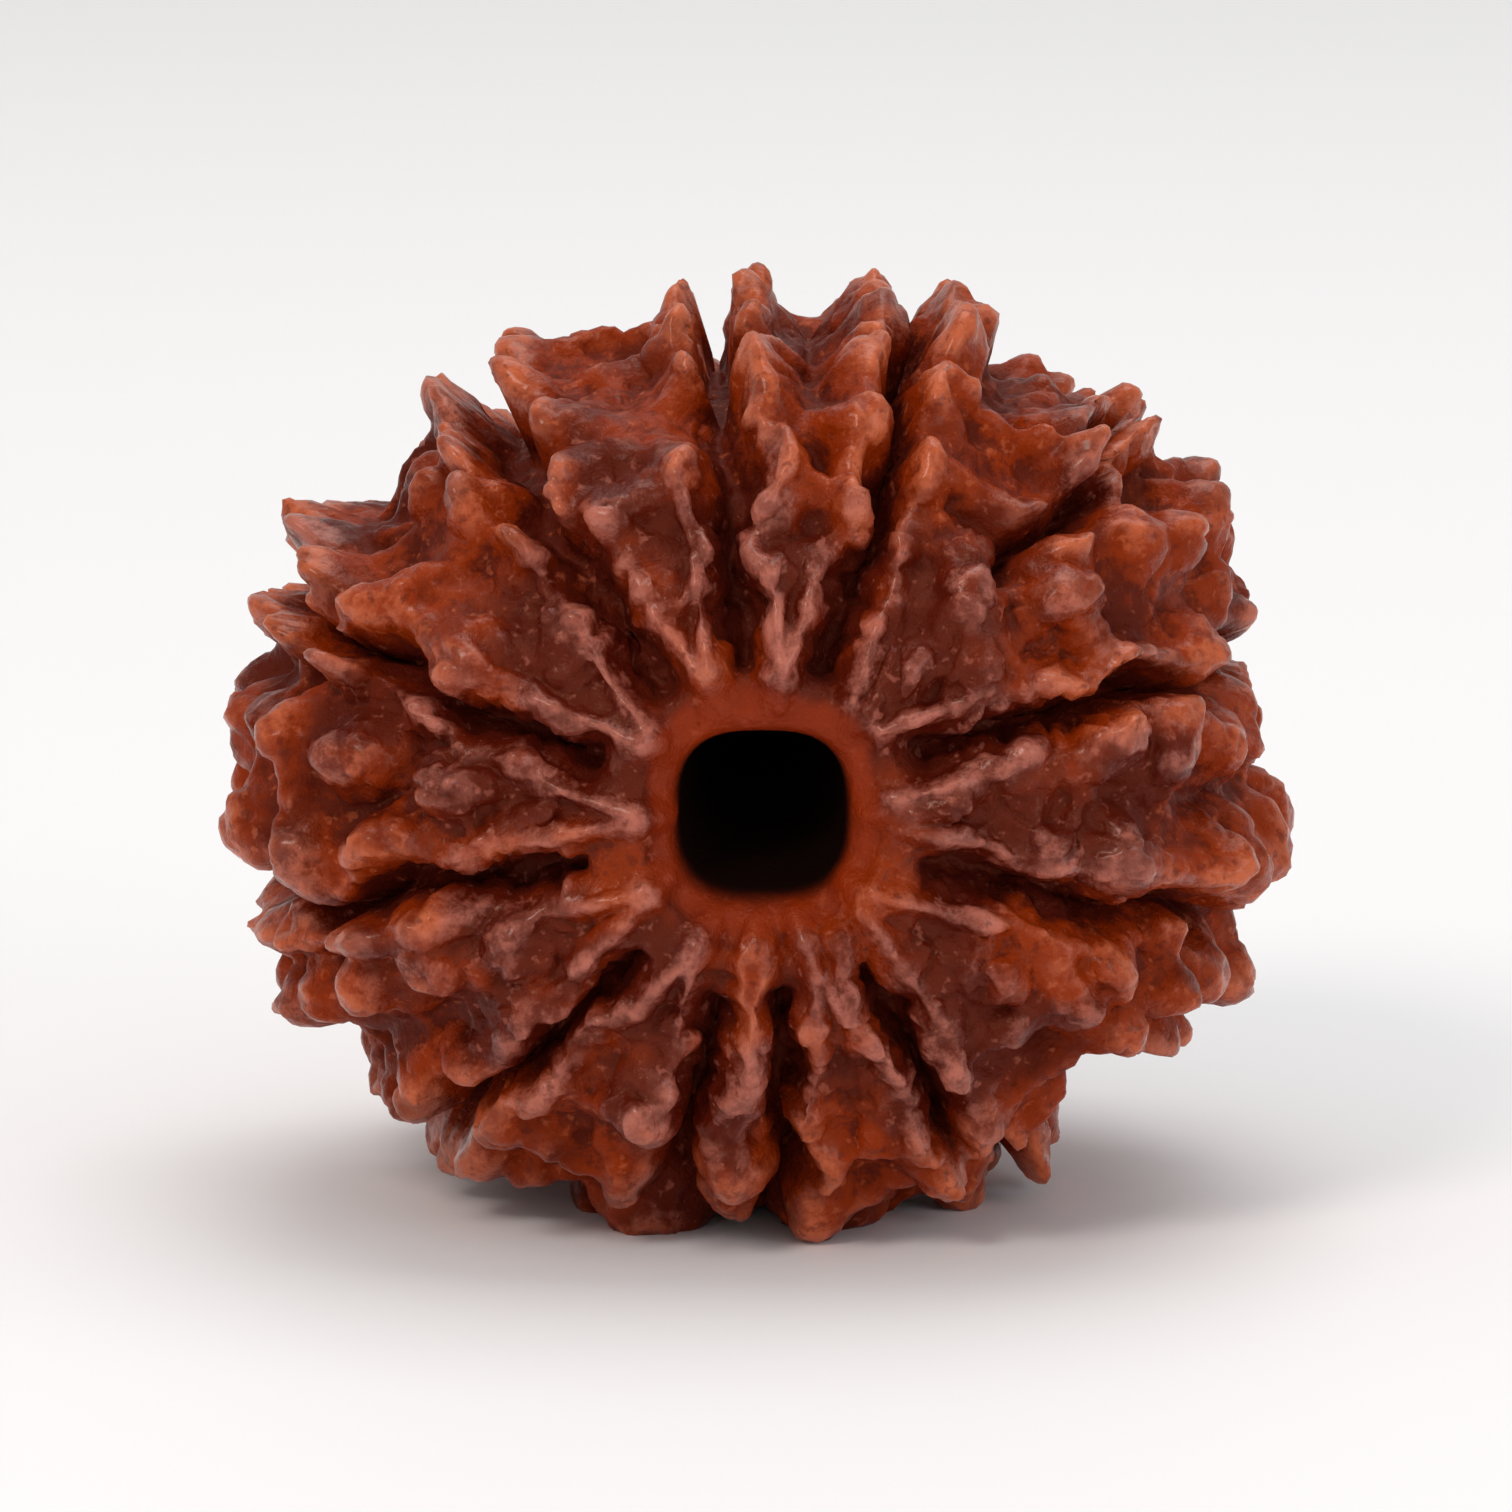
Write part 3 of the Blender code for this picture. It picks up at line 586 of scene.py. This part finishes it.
def knobs_of(skin, draw):
    """Every knob of the rows, as lists of (angle, arc, height, along, across, turn)."""
    found = []
    for number, (face, place, gap) in enumerate(knob_rows()):
        row = []
        arc = -skin.reach + KNOB_PITCH * (0.5 if number % 2 else 1.0)
        while arc < skin.reach:
            radius = float(np.interp(arc, skin.arc, skin.radius))
            level = arc / skin.reach
            left = furrow_angle(FURROWS[face], level)
            right = furrow_angle(FURROWS[(face + 1) % len(FURROWS)], level)
            width = (right - left) % FULL_TURN
            room = radius / RIM_RADIUS
            angle = left + width * (place + draw.uniform(-KNOB_ASIDE, KNOB_ASIDE))
            height = draw.uniform(*KNOB_HEIGHTS) * float(smooth_step(*KNOBS_GROW, radius))
            across = min(draw.uniform(*KNOB_ACROSS), max(gap, KNOB_LEAST_GAP))
            across *= room ** KNOB_SHRINKS[1]
            along = draw.uniform(*KNOB_ALONG) * room ** KNOB_SHRINKS[0]
            turn = math.radians(draw.uniform(-KNOB_TURN, KNOB_TURN))
            if radius > KNOBS_START:
                astray = draw.uniform(-KNOB_ASTRAY, KNOB_ASTRAY)
                row.append((angle, arc + astray, height, along, across, turn))
            arc += KNOB_PITCH * draw.uniform(*KNOB_PITCHES)
        found.append(row)
    return found


def raise_knobs(swell, skin, draw):
    """Adds the rows of knobs and the ridges that join some of them."""
    rows = knobs_of(skin, draw)
    for row, after in zip(rows, rows[1:] + rows[:1]):
        for knob in row:
            angle, arc, height, along, across, turn = knob
            raise_dome(swell, skin, angle, arc, along, across, turn, height)
            beside = [other for other in after if abs(other[1] - arc) < KNOB_PITCH]
            if beside and draw.uniform() < LINK_CHANCES[1]:
                near = min(beside, key=lambda other: abs(other[1] - arc))
                raise_link(swell, skin, knob[:3], near[:3], LINK_HALF_WIDTH)
        for knob, near in zip(row, row[1:]):
            if draw.uniform() < LINK_CHANCES[0]:
                raise_link(swell, skin, knob[:3], near[:3], LINK_HALF_WIDTH)


def beside_line(skin, line, number):
    """How far every grid point is from one furrow's line, measured round the bead."""
    middle = furrow_angle(line, skin.level)[:, None]
    sway = np.sin(FULL_TURN * (skin.arc / FURROW_SWAY_LENGTH + FURROW_SWAY_SHIFT * number))
    across = turn_between(skin.angles[None, :], middle) * skin.radius[:, None]
    return np.abs(across + (FURROW_SWAY * skin.rim * sway)[:, None])


def raise_lips(swell, skin):
    """Adds a straight raised lip along both sides of each furrow, strongest near the mouths."""
    fade = smooth_step(*LIP_FADES, skin.radius)[:, None]
    height = LIP_HEIGHT * (1 - (1 - LIP_LOWER) * fade) * skin.faces
    for number, line in enumerate(FURROWS):
        offset = np.minimum(LIP_OFFSET, LIP_ROOM * skin.radius)
        offset += (line[3] - 1) * FURROW_HALF_WIDTHS[1] * skin.rim
        side = beside_line(skin, line, number) - offset[:, None]
        swell += (height * np.exp(-((side / LIP_HALF_WIDTH) ** 2))) ** ROUNDING


def raise_tips(swell, skin):
    """Adds the small bump at the inner tip of each face, beside the ring round each mouth."""
    for front in (True, False):
        outer = np.flatnonzero((skin.arc < 0) == front)
        level = -1 if front else 1
        for line, after in zip(FURROWS, FURROWS[1:] + FURROWS[:1]):
            left = furrow_angle(line, level)
            middle = left + (furrow_angle(after, level) - left) % FULL_TURN / 2
            radius = ring_edge(middle) + TIP_BEYOND
            row = outer[np.argmin(np.abs(skin.radius[outer] - radius))]
            raise_dome(swell, skin, middle, skin.arc[row], *TIP_HALF_SIZES, 0, TIP_HEIGHT)


def raise_ridges(swell, skin):
    """Adds the two smooth ridges that run out from the front mouth."""
    front = np.flatnonzero(skin.arc < 0)
    for start, near, end, far in RIDGES:
        ends = []
        for angle, radius in ((start, near), (end, far)):
            row = front[np.argmin(np.abs(skin.radius[front] - radius))]
            ends.append((math.radians(angle), skin.arc[row], RIDGE_HEIGHT))
        raise_link(swell, skin, *ends, RIDGE_HALF_WIDTH)


def cut_furrows(relief, skin):
    """Cuts each furrow between its lips, and the crease."""
    rim = skin.rim[:, None]
    for number, line in enumerate(FURROWS):
        run_in = smooth_step(line[5], line[5] + FURROW_RUN_IN, skin.radius)[:, None]
        depth = (FURROW_DEPTHS[0] * (1 - rim) + FURROW_DEPTHS[1] * rim) * run_in
        at_rim, at_mouths = line[3:5]
        width = FURROW_HALF_WIDTHS[0] * at_mouths * (1 - rim) + FURROW_HALF_WIDTHS[1] * at_rim * rim
        width = np.minimum(width, FURROW_ROOM * skin.radius[:, None])
        shift = FURROW_UNEVEN_SHIFT * number
        uneven = np.sin(FULL_TURN * (skin.arc / FURROW_UNEVEN_LENGTH + shift))
        width = width * (1 + FURROW_UNEVEN * uneven[:, None])
        cut = np.exp(-((beside_line(skin, line, number) / width) ** FURROW_STEEP)) * run_in
        relief[:] = relief * (1 - cut) - depth * cut
    cut = np.exp(-((beside_line(skin, CREASE, len(FURROWS)) / FURROW_HALF_WIDTHS[1]) ** 2))
    cut = cut * smooth_step(*CREASE_STARTS, skin.radius)[:, None]
    relief[:] = relief * (1 - cut) - CREASE_DEPTH * cut


def reach_outline(relief, skin):
    """Stretches or shrinks the heights near the rim until they just reach its outline, or
    the surface that the bead stands on."""
    angles, reach = np.radians([spot[0] for spot in RIM_OUTLINE]), [spot[1] for spot in RIM_OUTLINE]
    across = reach * np.cos(angles)
    up = reach * np.sin(angles) - OUTLINE_LOWER
    degrees = np.degrees(np.unwrap(np.arctan2(up, across)))
    columns = np.degrees(skin.angles)
    order = np.concatenate([degrees - 360, degrees, degrees + 360])
    reaches = np.tile(np.hypot(across, up), 3)
    place = np.searchsorted(order, columns, side="right") - 1
    share = (columns - order[place]) / (order[place + 1] - order[place])
    share = smooth_step(0, 1, share)
    outline = reaches[place] * (1 - share) + reaches[place + 1] * share
    outline -= SEEN_TALLER * np.sin(skin.angles) ** 2
    ground = (AXIS_HEIGHT + FOOT_WORN) / np.clip(-np.sin(skin.angles), 0.3, None)
    outline = np.minimum(outline, ground)
    out = skin.widened() + relief * skin.out_radius[:, None]
    highest = out.max(axis=0)
    steps = len(columns) * OUTLINE_EASING / (FULL_TURN * RIM_RADIUS)
    wide = math.ceil(OUTLINE_REACH * steps)
    wide = range(-wide, wide + 1)
    highest = np.max([np.roll(highest, shift) for shift in wide], axis=0)
    passed = np.exp(-2 * (math.pi * steps * np.fft.rfftfreq(len(columns))) ** 2)
    highest = np.fft.irfft(np.fft.rfft(highest) * passed, n=len(columns))
    stretch = (outline - OUTLINE_FLOOR) / (highest - OUTLINE_FLOOR)
    belt = 1 - smooth_step(*OUTLINE_BELT, np.abs(skin.arc))
    relief += (out - OUTLINE_FLOOR) * np.outer(belt, np.clip(stretch, *OUTLINE_STRETCH) - 1)
    out = skin.widened() + relief * skin.out_radius[:, None]
    lacking = np.clip(outline - out.max(axis=0), 0, None)
    relief += np.outer(np.exp(-((skin.arc / SADDLE_LENGTH) ** 2)), lacking)


def raise_feet(relief, skin):
    """Raises the knobs that the bead stands on until they pass the surface under it."""
    swell = np.zeros(relief.shape)
    for degrees, y in FEET:
        angle = math.radians(degrees)
        outer = skin.radius > KNOBS_START
        row = np.flatnonzero(outer)[np.argmin(np.abs(skin.y[outer] - y))]
        plain = skin.radius[row] + RIM_WIDER * math.cos(2 * angle)
        height = (AXIS_HEIGHT + FOOT_WORN) / -math.sin(angle) - plain
        height /= skin.out_radius[row]
        size = FOOT_HALF_SIZE
        raise_dome(swell, skin, angle, skin.arc[row], size, size, 0, height)
    feet = swell ** (1 / ROUNDING)
    edge = FURROW_DEPTHS[0] * (1 - smooth_step(0, FOOT_EDGE, feet))
    relief[:] = np.maximum(relief, feet - edge)


def sideways(plain, skin):
    """How far each point is pushed sideways. At the rim it is along the axis only, so the
    outline stays."""
    sway = np.stack([waves(plain, WANDER_LENGTH, SEED + 1 + axis) for axis in range(3)], axis=-1)
    sway[..., (0, 2)] *= smooth_step(*WANDER_OFF_RIM, np.abs(skin.arc))[:, None, None]
    return WANDER * sway * smooth_step(*WANDER_STARTS, skin.radius)[:, None, None]


def cell_distance(points, size, seed):
    """How far each point is from the nearest of many scattered spots, as a share of size."""
    spots = np.random.default_rng(seed).uniform(0, 1, (SPOT_COUNT, 3))
    place = points / size
    home = np.floor(place).astype(np.int64)
    nearest = np.full(points.shape[:-1], 9.0)
    for step in itertools.product((-1, 0, 1), repeat=3):
        cube = home + step
        number = np.bitwise_xor.reduce(cube * SPOT_STEPS, axis=-1)
        gap = cube + spots[number % SPOT_COUNT] - place
        nearest = np.minimum(nearest, (gap**2).sum(axis=-1))
    return np.sqrt(nearest)


def blurred(values, skin, reach):
    """A closed grid of values, smoothed over a reach in millimetres both ways."""
    rows, columns = values.shape
    along = reach / (2 * skin.arc.max() / rows)
    around = reach / (FULL_TURN * np.maximum(skin.radius, reach) / columns)
    passed = np.exp(-2 * (math.pi * along * np.fft.rfftfreq(rows)) ** 2)
    values = np.fft.irfft(np.fft.rfft(values, axis=0) * passed[:, None], n=rows, axis=0)
    passed = np.exp(-2 * (math.pi * np.outer(around, np.fft.rfftfreq(columns))) ** 2)
    return np.fft.irfft(np.fft.rfft(values, axis=1) * passed, n=columns, axis=1)


def outward(points):
    """The direction out of the stone at every point of the closed grid."""
    along = np.roll(points, -1, axis=0) - np.roll(points, 1, axis=0)
    across = np.roll(points, -1, axis=1) - np.roll(points, 1, axis=1)
    normal = np.cross(along, across)
    return normal / np.linalg.norm(normal, axis=-1, keepdims=True)


def add_fine_relief(points, skin, lips, sizes):
    """Returns the points with warts, wrinkles, pits and grain on them, and their height.

    The warts meet in sharp creases. The lips beside the furrows stay smoother."""
    warts = sizes.wart_height / MM
    height = np.zeros(points.shape[:-1])
    twist = [waves(points, WART_SIZES[0], SEED + 50 + axis) for axis in range(3)]
    twisted = points + WART_TWIST * np.stack(twist, axis=-1)
    for number, size in enumerate(WART_SIZES):
        near = cell_distance(twisted, size, SEED + 20 + number)
        share = WART_HEIGHTS[number] / WART_HEIGHTS[0]
        height += warts * share * (WART_LEVEL - near**2)
    fold = waves(points, WRINKLE_LENGTH, SEED + 60)
    height -= WRINKLE_DEPTH * np.exp(-((fold / WRINKLE_WIDTH) ** 2))
    pit = cell_distance(points, PIT_SPACING, SEED + 30)
    height -= sizes.pit_depth / MM * np.exp(-((pit / PIT_HALF_WIDTH) ** 2))
    height += sizes.grain_height / MM * waves(points, GRAIN_LENGTH, SEED + 40, GRAIN_WAVES)
    ground = FINE_LEAST + (1 - FINE_LEAST) * smooth_step(*FINE_RUN, skin.radius)
    ground *= (1 - (1 - FINE_AT_RIM) * skin.rim) * skin.outer
    height *= ground[:, None] * (1 - FINE_OFF_LIPS * lips)
    return points + outward(points) * height[..., None], height


def stone_points(rows, columns, sizes):
    """The closed grid of the whole stone, in metres, and the values that its finish goes by."""
    skin = Skin(rows, columns)
    plain = skin.points(np.zeros((rows, columns)))
    swell = np.zeros((rows, columns))
    raise_knobs(swell, skin, np.random.default_rng(SEED))
    raise_lips(swell, skin)
    raise_tips(swell, skin)
    raise_ridges(swell, skin)
    ripple = FACE_STEP + RIPPLE * waves(plain, RIPPLE_LENGTH, SEED)
    relief = swell ** (1 / ROUNDING) + ripple * skin.faces
    cut_furrows(relief, skin)
    reach_outline(relief, skin)
    raise_feet(relief, skin)
    points = skin.points(relief)
    points += sideways(plain, skin)
    lips = np.zeros((rows, columns))
    raise_lips(lips, skin)
    lips = lips ** (1 / ROUNDING) / LIP_HEIGHT
    points, fine = add_fine_relief(points, skin, lips, sizes)
    inside = np.where(np.abs(skin.arc) > skin.reach, 1 - (skin.y / FACE_DEPTH) ** 2, 0)
    points[..., 0] += AXIS_ASIDE
    points[..., 2] += AXIS_HEIGHT + BORE_RISE * np.clip(inside, 0, None)[:, None]
    points[..., 2] = np.maximum(points[..., 2], 0)
    # The crest value: how far ground stands above or below what lies round it. The finish paints
    # shade in its hollows, and wear with a painted highlight on its crests.
    high = relief + fine
    crest = 0.5 + LIP_WEAR_AND_HIGHLIGHT * lips
    for reach, share in zip(WEAR_AND_SHADE_REACH, WEAR_AND_SHADE_SHARES):
        crest += share * (high - blurred(high, skin, reach))
    values = {
        "crest": np.clip(crest, 0, WEAR_AND_HIGHLIGHT_MOST),
        "open_face": np.repeat(smooth_step(*BORE_ENDS, skin.radius), columns),
        "ring": 1 - skin.faces,
        "rim": np.repeat(skin.rim, columns),
    }
    return points * MM, values


def grid_mesh(name, points):
    """A closed mesh from a grid of points that joins up both ways, faces pointing out."""
    rows, columns = points.shape[:2]
    index = np.arange(rows * columns).reshape(rows, columns)
    after, above = np.roll(index, -1, axis=1), np.roll(index, -1, axis=0)
    corner = np.roll(above, -1, axis=1)
    faces = np.stack([index, above, corner, after], axis=-1).reshape(-1, 4)
    mesh = bpy.data.meshes.new(name)
    mesh.vertices.add(rows * columns)
    mesh.vertices.foreach_set("co", points.astype(np.float32).ravel())
    mesh.loops.add(faces.size)
    mesh.loops.foreach_set("vertex_index", faces.ravel().astype(np.int32))
    mesh.polygons.add(len(faces))
    mesh.polygons.foreach_set("loop_start", np.arange(0, faces.size, 4, dtype=np.int32))
    mesh.update(calc_edges=True)
    return mesh


def add_values(mesh, name, values):
    """Stores one number at each point of the mesh, for the material to read."""
    attribute = mesh.attributes.new(name, "FLOAT", "POINT")
    attribute.data.foreach_set("value", values.astype(np.float32).ravel())


def thinned(piece, triangles):
    """Gives the piece the same shape with about this many triangles, spent where it bends."""
    fewer = piece.modifiers.new("fewer_faces", "DECIMATE")
    fewer.ratio = triangles / (2 * len(piece.data.polygons))
    fewer.use_collapse_triangulate = True
    seen = piece.evaluated_get(bpy.context.evaluated_depsgraph_get())
    mesh = bpy.data.meshes.new_from_object(seen)
    piece.modifiers.clear()
    dense, piece.data = piece.data, mesh
    name = dense.name
    bpy.data.meshes.remove(dense)
    mesh.name = name


def add_node(tree, kind, settings=(), inputs=()):
    """Adds a node to the tree, with its settings and with its inputs set or linked."""
    node = tree.nodes.new(kind)
    for name, value in dict(settings).items():
        setattr(node, name, value)
    for name, value in dict(inputs).items():
        if isinstance(value, bpy.types.NodeSocket):
            tree.links.new(value, node.inputs[name])
        else:
            node.inputs[name].default_value = value
    return node


def seed_stone_finish(looks):
    """Seed stone of Elaeocarpus ganitrus: a hard, woody, red-brown shell, brushed and oiled.

    The eye sees dark, oily furrows with painted shade in them, deep red-brown flanks with
    orange-brown patches, and paler, pinkish crests that handling has rubbed, with a painted
    highlight on them, on which a thin film of oil leaves small soft glints.
    """
    material = bpy.data.materials.new("oiled_seed_stone")
    material.use_nodes = True
    tree = material.node_tree
    tree.nodes.clear()
    place = add_node(tree, "ShaderNodeTexCoord").outputs["Object"]

    def stored(name):
        """The value that the mesh keeps under this name."""
        return add_node(tree, "ShaderNodeAttribute", {"attribute_name": name}).outputs["Fac"]

    def noise(size, detail, roughness):
        """A pattern of patches of about this size in millimetres."""
        inputs = {"Scale": 1 / (size * MM), "Detail": detail, "Roughness": roughness}
        inputs["Vector"] = place
        return add_node(tree, "ShaderNodeTexNoise", (), inputs).outputs["Fac"]

    def spread(value, low, high, least=0.0, most=1.0):
        """A smooth rise from least to most while the value goes from low to high."""
        inputs = {"Value": value, 1: low, 2: high, 3: least, 4: most}
        settings = {"interpolation_type": "SMOOTHSTEP"}
        return add_node(tree, "ShaderNodeMapRange", settings, inputs).outputs[0]

    def mixed(share, first, second):
        """The first colour, with this share of the second one in it."""
        node = add_node(tree, "ShaderNodeMix", {"data_type": "RGBA"}, {0: share})
        for socket, value in ((6, first), (7, second)):
            if isinstance(value, bpy.types.NodeSocket):
                tree.links.new(value, node.inputs[socket])
            else:
                node.inputs[socket].default_value = (*value, 1)
        return node.outputs[2]

    def summed(first, second, factor):
        """The first value, with factor times the second one added."""
        inputs = {0: second, 1: factor, 2: first}
        return add_node(tree, "ShaderNodeMath", {"operation": "MULTIPLY_ADD"}, inputs).outputs[0]

    crest, face, ring, rim = (stored(name) for name in ("crest", "open_face", "ring", "rim"))
    patches, mottle, shade = noise(*PATCHES), noise(*MOTTLE), noise(*SHADE)
    fleck, grain = noise(*FLECKS), noise(*GRAIN)
    uneven = summed(crest, spread(mottle, *MOTTLE_EDGES), MOTTLE_SHARE)
    amber = spread(summed(patches, rim, AMBER_AT_RIM), *AMBER_EDGES)
    flank = mixed(amber, looks.flank, looks.amber)
    # Painted shade: the hollow colour darkens the low ground, over the real dark of oil and dust
    # there
    colour = mixed(spread(uneven, *FLANK_EDGES), looks.hollow, flank)
    rim_worn_and_highlight = spread(summed(patches, rim, RIM_CREST_AT_RIM), *RIM_CREST_EDGES)
    worn_and_highlight = mixed(rim_worn_and_highlight, looks.crest, looks.rim_crest)
    # The paler worn colour on the crests, partly wear and partly painted highlight
    colour = mixed(spread(uneven, *CREST_EDGES), colour, worn_and_highlight)
    colour = mixed(spread(shade, *SHADE_EDGES), colour, looks.hollow)
    colour = mixed(spread(fleck, *DARK_FLECK_EDGES), colour, looks.hollow)
    colour = mixed(spread(fleck, *PALE_FLECK_EDGES), colour, worn_and_highlight)
    colour = mixed(spread(summed(ring, mottle, RING_MOTTLE), *RING_COLOUR_EDGES), colour, looks.ring)
    # Painted shade: the bore's wall is painted near black
    colour = mixed(face, looks.bore, colour)
    polish = spread(summed(uneven, face, 1.0), *POLISH_EDGES)
    inputs = {0: polish, 1: looks.oil_film}
    film = add_node(tree, "ShaderNodeMath", {"operation": "MULTIPLY"}, inputs).outputs[0]
    inputs = {
        "Height": summed(mottle, grain, POCKMARK_GRAIN),
        "Strength": POCKMARK_STRENGTH,
        "Distance": POCKMARKS * MM,
    }
    bump = add_node(tree, "ShaderNodeBump", (), inputs).outputs[0]
    inputs = {
        "Base Color": colour,
        "Roughness": summed(spread(uneven, *ROUGH_EDGES), grain, ROUGH_GRAIN),
        "Normal": bump,
        "IOR": SHELL_IOR,
        "Specular IOR Level": summed(spread(face, *SHEEN_EDGES), rim, SHEEN_AT_RIM),
        "Specular Tint": SHEEN_TINT,
        "Coat Weight": film,
        "Coat Roughness": OIL_ROUGHNESS,
        "Coat IOR": OIL_IOR,
    }
    shader = add_node(tree, "ShaderNodeBsdfPrincipled", (), inputs)
    add_node(tree, "ShaderNodeOutputMaterial", (), {"Surface": shader.outputs[0]})
    return material


def studio_paper_finish(colour):
    """Matt studio paper: nearly white, even, with a faint tooth that only breaks up its sheen."""
    material = bpy.data.materials.new("matt_studio_paper")
    material.use_nodes = True
    tree = material.node_tree
    tree.nodes.clear()
    place = add_node(tree, "ShaderNodeTexCoord").outputs["Object"]
    inputs = {"Vector": place, "Scale": 1 / (0.6 * MM), "Detail": 2.0}
    tooth = add_node(tree, "ShaderNodeTexNoise", (), inputs).outputs["Fac"]
    inputs = {"Height": tooth, "Strength": 0.1, "Distance": 0.05 * MM}
    bump = add_node(tree, "ShaderNodeBump", (), inputs).outputs[0]
    inputs = {"Base Color": (*colour, 1), "Roughness": 0.6, "Normal": bump}
    shader = add_node(tree, "ShaderNodeBsdfPrincipled", (), inputs)
    add_node(tree, "ShaderNodeOutputMaterial", (), {"Surface": shader.outputs[0]})
    return material


class MakeStone(Operator):
    """Makes the stone, with its furrows, knobs and thread hole"""

    bl_idname = "bead.make_stone"
    bl_label = "Stone"

    def execute(self, context):
        points, values = stone_points(ROWS, COLUMNS, context.scene.bead_relief)
        mesh = grid_mesh("seed_stone", points)
        for name, value in values.items():
            add_values(mesh, name, value)
        stone = bpy.data.objects.new("seed_stone", mesh)
        context.scene.collection.objects.link(stone)
        thinned(stone, TRIANGLES)
        stone.data.shade_smooth()
        stone.data.materials.append(seed_stone_finish(context.scene.bead_looks))
        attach(stone, "root")
        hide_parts("rudraksha_bead")
        return {"FINISHED"}


def aim(thing, target):
    """Turns a lamp or a camera towards the target."""
    thing.rotation_euler = (Vector(target) - thing.location).to_track_quat("-Z", "Y").to_euler()


def add_sweep(colour):
    """A sheet of paper that lies flat under the bead and curves up far behind it."""
    line = [(SWEEP_FRONT, 0.0)]
    for step in range(SWEEP_BEND_STEPS + 1):
        turn = math.pi / 2 * step / SWEEP_BEND_STEPS
        up = SWEEP_BEND * (1 - math.cos(turn))
        line.append((SWEEP_BACK - SWEEP_BEND * (1 - math.sin(turn)), up))
    line.append((SWEEP_BACK, SWEEP_TOP))
    corners = [(side * SWEEP_HALF_WIDTH, y, z) for y, z in line for side in (-1, 1)]
    faces = [(2 * n, 2 * n + 1, 2 * n + 3, 2 * n + 2) for n in range(len(line) - 1)]
    mesh = bpy.data.meshes.new("studio_sweep")
    mesh.from_pydata(corners, [], faces)
    mesh.shade_smooth()
    mesh.materials.append(studio_paper_finish(colour))
    sweep = bpy.data.objects.new("studio_sweep", mesh)
    bpy.context.scene.collection.objects.link(sweep)


def add_softbox(name, place, side, power, colour):
    """A square softbox that faces the bead."""
    light = bpy.data.lights.new(name, "AREA")
    light.size = side
    light.energy = power
    light.color = linear(colour)
    lamp = bpy.data.objects.new(name, light)
    lamp.location = place
    aim(lamp, (0, 0, AXIS_HEIGHT * MM))
    bpy.context.scene.collection.objects.link(lamp)


class MakeStudio(Operator):
    """Makes the floor, the lights and the camera"""

    bl_idname = "bead.make_studio"
    bl_label = "Studio"

    def execute(self, context):
        scene, studio = context.scene, context.scene.bead_studio
        add_sweep(studio.floor_colour)
        for softbox in SOFTBOXES:
            add_softbox(*softbox)
        world = bpy.data.worlds.new("soft_room")
        world.use_nodes = True
        surround = world.node_tree.nodes["Background"]
        surround.inputs["Color"].default_value = (*linear(ROOM_COLOUR), 1)
        surround.inputs["Strength"].default_value = ROOM_STRENGTH
        scene.world = world
        lens = bpy.data.cameras.new("studio_camera")
        lens.lens = lens.sensor_width * studio.camera_distance / studio.view_width
        camera = bpy.data.objects.new("studio_camera", lens)
        target = Vector((0, 0, VIEW_HEIGHT * MM))
        turn = studio.camera_elevation
        away = Vector((0, -math.cos(turn), math.sin(turn)))
        camera.location = target + studio.camera_distance * away
        aim(camera, target)
        scene.collection.objects.link(camera)
        scene.camera = camera
        scene.view_settings.view_transform = "Standard"
        return {"FINISHED"}


class BeadPanel(Panel):
    """Lists the bead's pieces and their settings"""

    bl_idname = "VIEW3D_PT_rudraksha_bead"
    bl_label = "Rudraksha bead"
    bl_space_type = "VIEW_3D"
    bl_region_type = "UI"
    bl_category = "Bead"

    def draw(self, context):
        scene = context.scene
        for step in (MakeStone, MakeStudio):
            self.layout.operator(step.bl_idname)
        for group in (scene.bead_relief, scene.bead_looks, scene.bead_studio):
            box = self.layout.box()
            for name in group.__annotations__:
                box.prop(group, name)


CLASSES = (BeadRelief, BeadLooks, BeadStudio, MakeStone, MakeStudio, BeadPanel)


def register():
    for kind in CLASSES:
        bpy.utils.register_class(kind)
    bpy.types.Scene.bead_relief = PointerProperty(type=BeadRelief)
    bpy.types.Scene.bead_looks = PointerProperty(type=BeadLooks)
    bpy.types.Scene.bead_studio = PointerProperty(type=BeadStudio)


def unregister():
    for name in ("bead_relief", "bead_looks", "bead_studio"):
        delattr(bpy.types.Scene, name)
    for kind in reversed(CLASSES):
        bpy.utils.unregister_class(kind)


def main():
    register()
    bpy.ops.bead.make_stone()
    bpy.ops.bead.make_studio()


if __name__ == "__main__":
    main()
